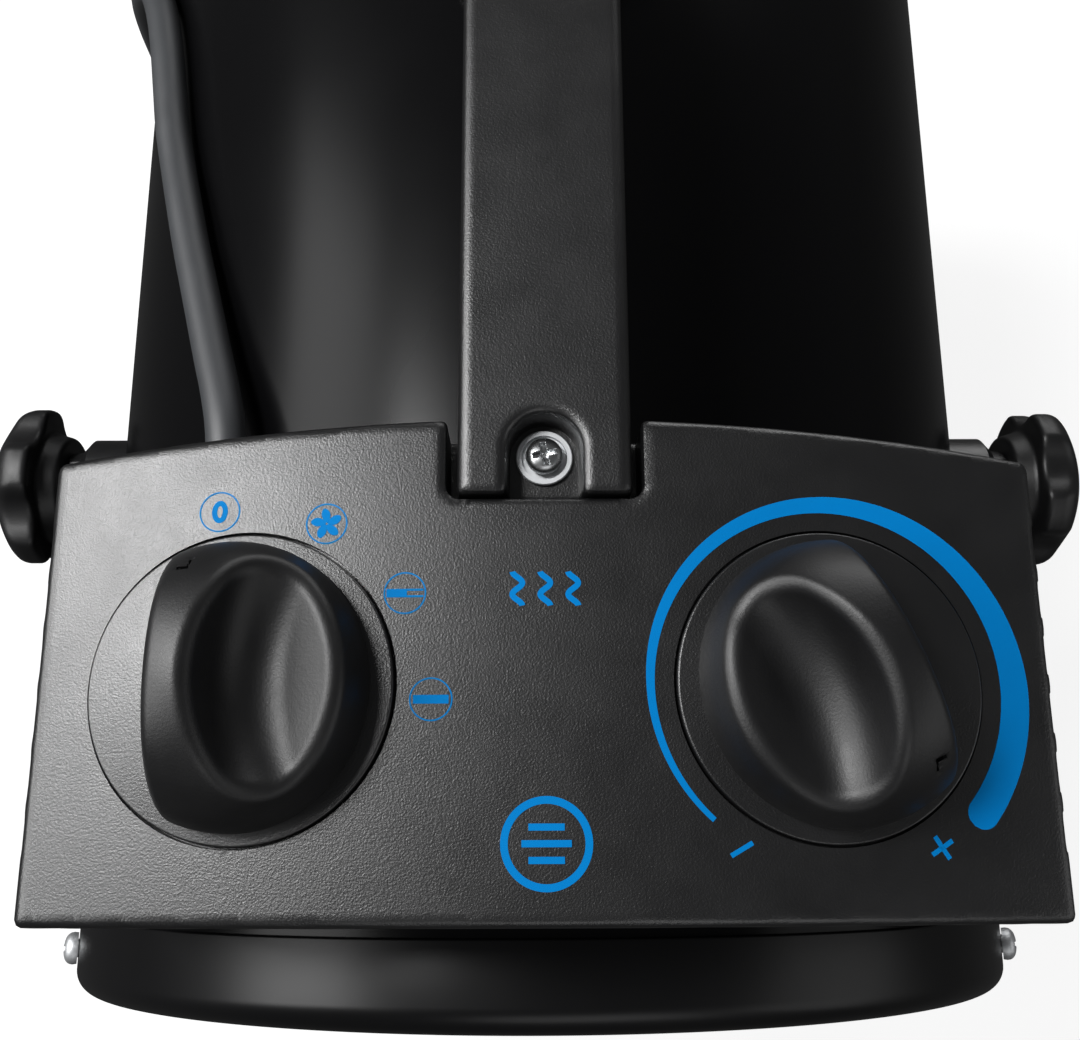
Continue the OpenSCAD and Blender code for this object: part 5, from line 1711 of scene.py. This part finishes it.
    def plug(self) -> Surface:
        """Plug: a revolved profile from a ribbed tail through a waisted grip to the pin face.

        Returns:
            The plug, in its place.
        """
        wide, long, r = self.plug_body_r, self.plug_len, self.plug_edge_r
        land = self.plug_shoulder + self.plug_land
        along = np.linspace(self.plug_first, land, self.plug_points)
        grown = np.interp(along, *np.array([*self.plug_form, (land, wide)]).T)
        middle, spread, depth = self.plug_waist
        waist = depth * np.exp(-np.square((along - middle) / spread))
        first, last = self.rib_run
        ribs = self.rib_depth * ribbing(along, first, self.rib_pitch, self.rib_wave) * (along < last)
        rim, sill, sunk = self.plug_face
        profile = np.vstack([
            [[0.0, 0.0], [self.plug_mouth_r, 0.0]], np.stack([grown - waist - ribs, along], 1),
            [[wide, long - self.plug_land]], arc((wide - r, long - r), r, 0, 90, 7),
            [[rim, long], [sill, long - sunk], [0.0, long - sunk]]])
        return lathe(profile, self.plug_place())

    def tie(self) -> Surface:
        """Tie round the coil: a flat band, round-edged, along a rectangle with round corners.

        Returns:
            The tie, in its place.
        """
        clear = self.cord_d / 2 + self.tie_gap + self.tie_t / 2
        near = float(self.coil_r(np.array(self.tie_turn + self.tie_turns))) - clear
        far = float(self.coil_r(np.array(self.tie_turn))) + clear
        low = self.coil_low_z - self.cord_d / 2 - self.floor_lift - self.tie_t / 2
        high = self.coil_low_z + self.coil_layer + clear
        r = self.cord_d / 2 - self.tie_t / 2
        loop = np.vstack([arc((far - r, low + r), r, 270, 360), arc((far - r, high - r), r, 0, 90),
                          arc((near + r, high - r), r, 90, 180), arc((near + r, low + r), r, 180, 270)])
        angle = 2 * np.pi * self.tie_turn
        out = np.array([math.sin(angle), math.cos(angle), 0.0])
        path = np.array([*self.coil_at, 0.0]) + loop[:, :1] * out + loop[:, 1:] * np.array([0, 0, 1.0])
        t, w = self.tie_t / 2, self.tie_half_w
        flat = t * self.tie_flat
        section = np.array([[-t, -w + t], [-flat, -w], [flat, -w], [t, -w + t],
                            [t, w - t], [flat, w], [-flat, w], [-t, w - t]])
        return sweep(path, section, (0, 0, -1), looped=True)

    def build(self) -> None:
        """Makes the cord, its tie and its plug, and logs the cord's face count."""
        path = self.path()
        surface = sweep(path, circle(self.cord_d / 2, self.around), (1, 0, 0))
        cord = mesh_object("mains_lead", surface, CORD_SHEATH.material(), 60)
        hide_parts("mains_cord", "cord_coil", "cord_end")
        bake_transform(cord)
        LOG.info("mains_lead, %d faces", len(cord.data.polygons))
        plug = make_piece("mains_plug_moulded", self.plug(), RUBBER, Body.STAND, ("mains_plug",))
        tie = make_piece("cord_tie_band", self.tie(), RUBBER, Body.STAND, ("cord_tie",), 60)


HOUSING = ControlHousing()


def dress_nodes() -> None:
    """Gives every node of the frame the finish of its material slot."""
    by_slot = {finish.slot: finish for finish in FINISHES}
    for part in frame["record"]["subparts"]:
        node = frame["nodes"][part["node"]]
        node.data.materials.clear()
        node.data.materials.append(by_slot[part["material_slot"]].material())


@dataclass(frozen=True)
class Softbox:
    """A rectangular softbox: where it hangs and points and its width and height, in metres, and its watts."""

    name: str
    at: tuple[float, float, float]
    aim: tuple[float, float, float]
    size: tuple[float, float]
    watts: float

    def build(self) -> None:
        """Adds the light, turned from its place towards its aim."""
        data = bpy.data.lights.new(self.name, "AREA")
        data.shape = "RECTANGLE"
        data.size, data.size_y = self.size
        data.energy = self.watts
        light = link_object(self.name, data)
        way = np.array(self.at) - np.array(self.aim)
        flat = math.hypot(way[0], way[1])
        light.location = self.at
        light.rotation_euler = (math.atan2(flat, way[2]), 0.0, math.atan2(way[0], -way[1]))


# The key lights the panel, the strip draws the drum's soft band, and the cards and the fill lift the sides.
SOFTBOXES = (
    Softbox("key_left", (-0.69, 0.23, 1.44), (-0.05, -0.1, 0.33), (0.30, 0.36), 15.0),
    Softbox("strip_left", (-0.94, 0.32, 0.88), (-0.04, 0.0, 0.28), (0.56, 0.46), 6.2),
    Softbox("card_left", (-1.14, -0.27, 1.03), (-0.05, -0.15, 0.27), (0.46, 0.66), 7.0),
    Softbox("card_right", (1.25, -0.5, 0.75), (0.05, -0.15, 0.25), (1.1, 0.8), 2.6),
    Softbox("fill_rear", (0.3, -1.6, 1.5), (0.0, -0.05, 0.2), (1.4, 0.8), 5.0),
    Softbox("card_front", (0.5, 1.6, 0.55), (0.0, 0.1, 0.18), (1.2, 0.8), 9.0),
)


@dataclass
class Studio:
    """Camera, lights and pale floor."""

    lens_mm: float = 40.94
    sensor_mm: float = 36.0
    nearest: float = 0.01
    camera_at: tuple[float, float, float] = (-0.00214, -0.12372, 0.51109)
    camera_turn: tuple[float, float, float] = (14.868, -0.379, -0.234)
    floor_half: float = 4.0
    floor_colour: str = "#808080"
    floor_glow: str = "#ffffff"
    floor_seen: float = 0.84
    floor_mirrored: float = 0.06
    sky_colour: str = "#f7f8fa"
    world_light: float = 0.09

    def camera(self) -> None:
        """Sets the camera at the photograph's place, above and behind the panel."""
        data = bpy.data.cameras.new("camera")
        data.lens = self.lens_mm
        data.sensor_width = self.sensor_mm
        data.clip_start = self.nearest
        camera = link_object("camera", data)
        camera.location = self.camera_at
        camera.rotation_euler = [math.radians(a) for a in self.camera_turn]
        bpy.context.scene.camera = camera

    def floor(self) -> None:
        """Adds a pale floor that the camera sees almost white, with the object's shadow on it.

        Glossy surfaces see it dim instead, so that the drum's sides stay dark.
        """
        half = self.floor_half / MM
        corners = np.array([[[x, y, 0] for y in (-half, half)] for x in (-half, half)], float)
        material = bpy.data.materials.new("pale_floor")
        tree = bare_tree(material)
        paper = add_node(tree, "ShaderNodeBsdfDiffuse", None, {"Color": linear(self.floor_colour)})
        rays = add_node(tree, "ShaderNodeLightPath")
        mirrored = add_node(tree, "ShaderNodeMath", {"operation": "MAXIMUM"}, {
            0: rays.outputs["Is Glossy Ray"], 1: rays.outputs["Is Transmission Ray"]})
        direct = add_node(tree, "ShaderNodeMath", {"operation": "MULTIPLY"}, {
            0: rays.outputs["Is Camera Ray"], 1: self.floor_seen})
        glow = add_node(tree, "ShaderNodeEmission", None, {
            "Color": linear(self.floor_glow), "Strength": direct.outputs["Value"]})
        lit = add_node(tree, "ShaderNodeAddShader", None, {
            0: paper.outputs["BSDF"], 1: glow.outputs["Emission"]})
        dim = add_node(tree, "ShaderNodeEmission", None, {
            "Color": linear(self.floor_glow), "Strength": self.floor_mirrored})
        either = add_node(tree, "ShaderNodeMixShader", None, {
            0: mirrored.outputs["Value"], 1: lit.outputs["Shader"], 2: dim.outputs["Emission"]})
        add_node(tree, "ShaderNodeOutputMaterial", None, {"Surface": either.outputs["Shader"]})
        mesh_object("floor", grid_surface(corners), material, 30)

    def world(self) -> None:
        """Sets the world: a dim even light on the object, white where the camera sees past the floor."""
        world = bpy.data.worlds.new("studio")
        tree = bare_tree(world)
        rays = add_node(tree, "ShaderNodeLightPath")
        strength = add_node(tree, "ShaderNodeMapRange", None, {
            "Value": rays.outputs["Is Camera Ray"], "To Min": self.world_light, "To Max": 1.0})
        sky = add_node(tree, "ShaderNodeBackground", None, {
            "Color": linear(self.sky_colour), "Strength": strength.outputs["Result"]})
        add_node(tree, "ShaderNodeOutputWorld", None, {"Surface": sky.outputs["Background"]})
        bpy.context.scene.world = world

    def build(self) -> None:
        """Sets camera, floor, world light and softboxes."""
        self.camera()
        self.floor()
        self.world()
        for softbox in SOFTBOXES:
            softbox.build()
        bpy.context.scene.view_settings.view_transform = "Standard"


def main() -> None:
    """Builds the studio and then each sub-assembly."""
    logging.basicConfig(level=logging.INFO, format="%(name)s: %(message)s")
    Studio().build()
    dress_nodes()
    MainsLead().build()
    DRUM.build()
    HOUSING.build()
    PanelPrint().build()
    DialKnob("selector_knob", PANEL.selector_x, 0.0, Body.SELECTOR).build()
    DialKnob("thermostat_knob", PANEL.thermostat_x, -157.0, Body.THERMOSTAT).build()
    CarryHandle().build()
    ClampKnob("clamp_knob_left", -1, Body.CLAMP_LEFT).build()
    ClampKnob("clamp_knob_right", 1, Body.CLAMP_RIGHT).build()
    TubeStand().build()
    bpy.context.view_layer.update()


if __name__ == "__main__":
    main()
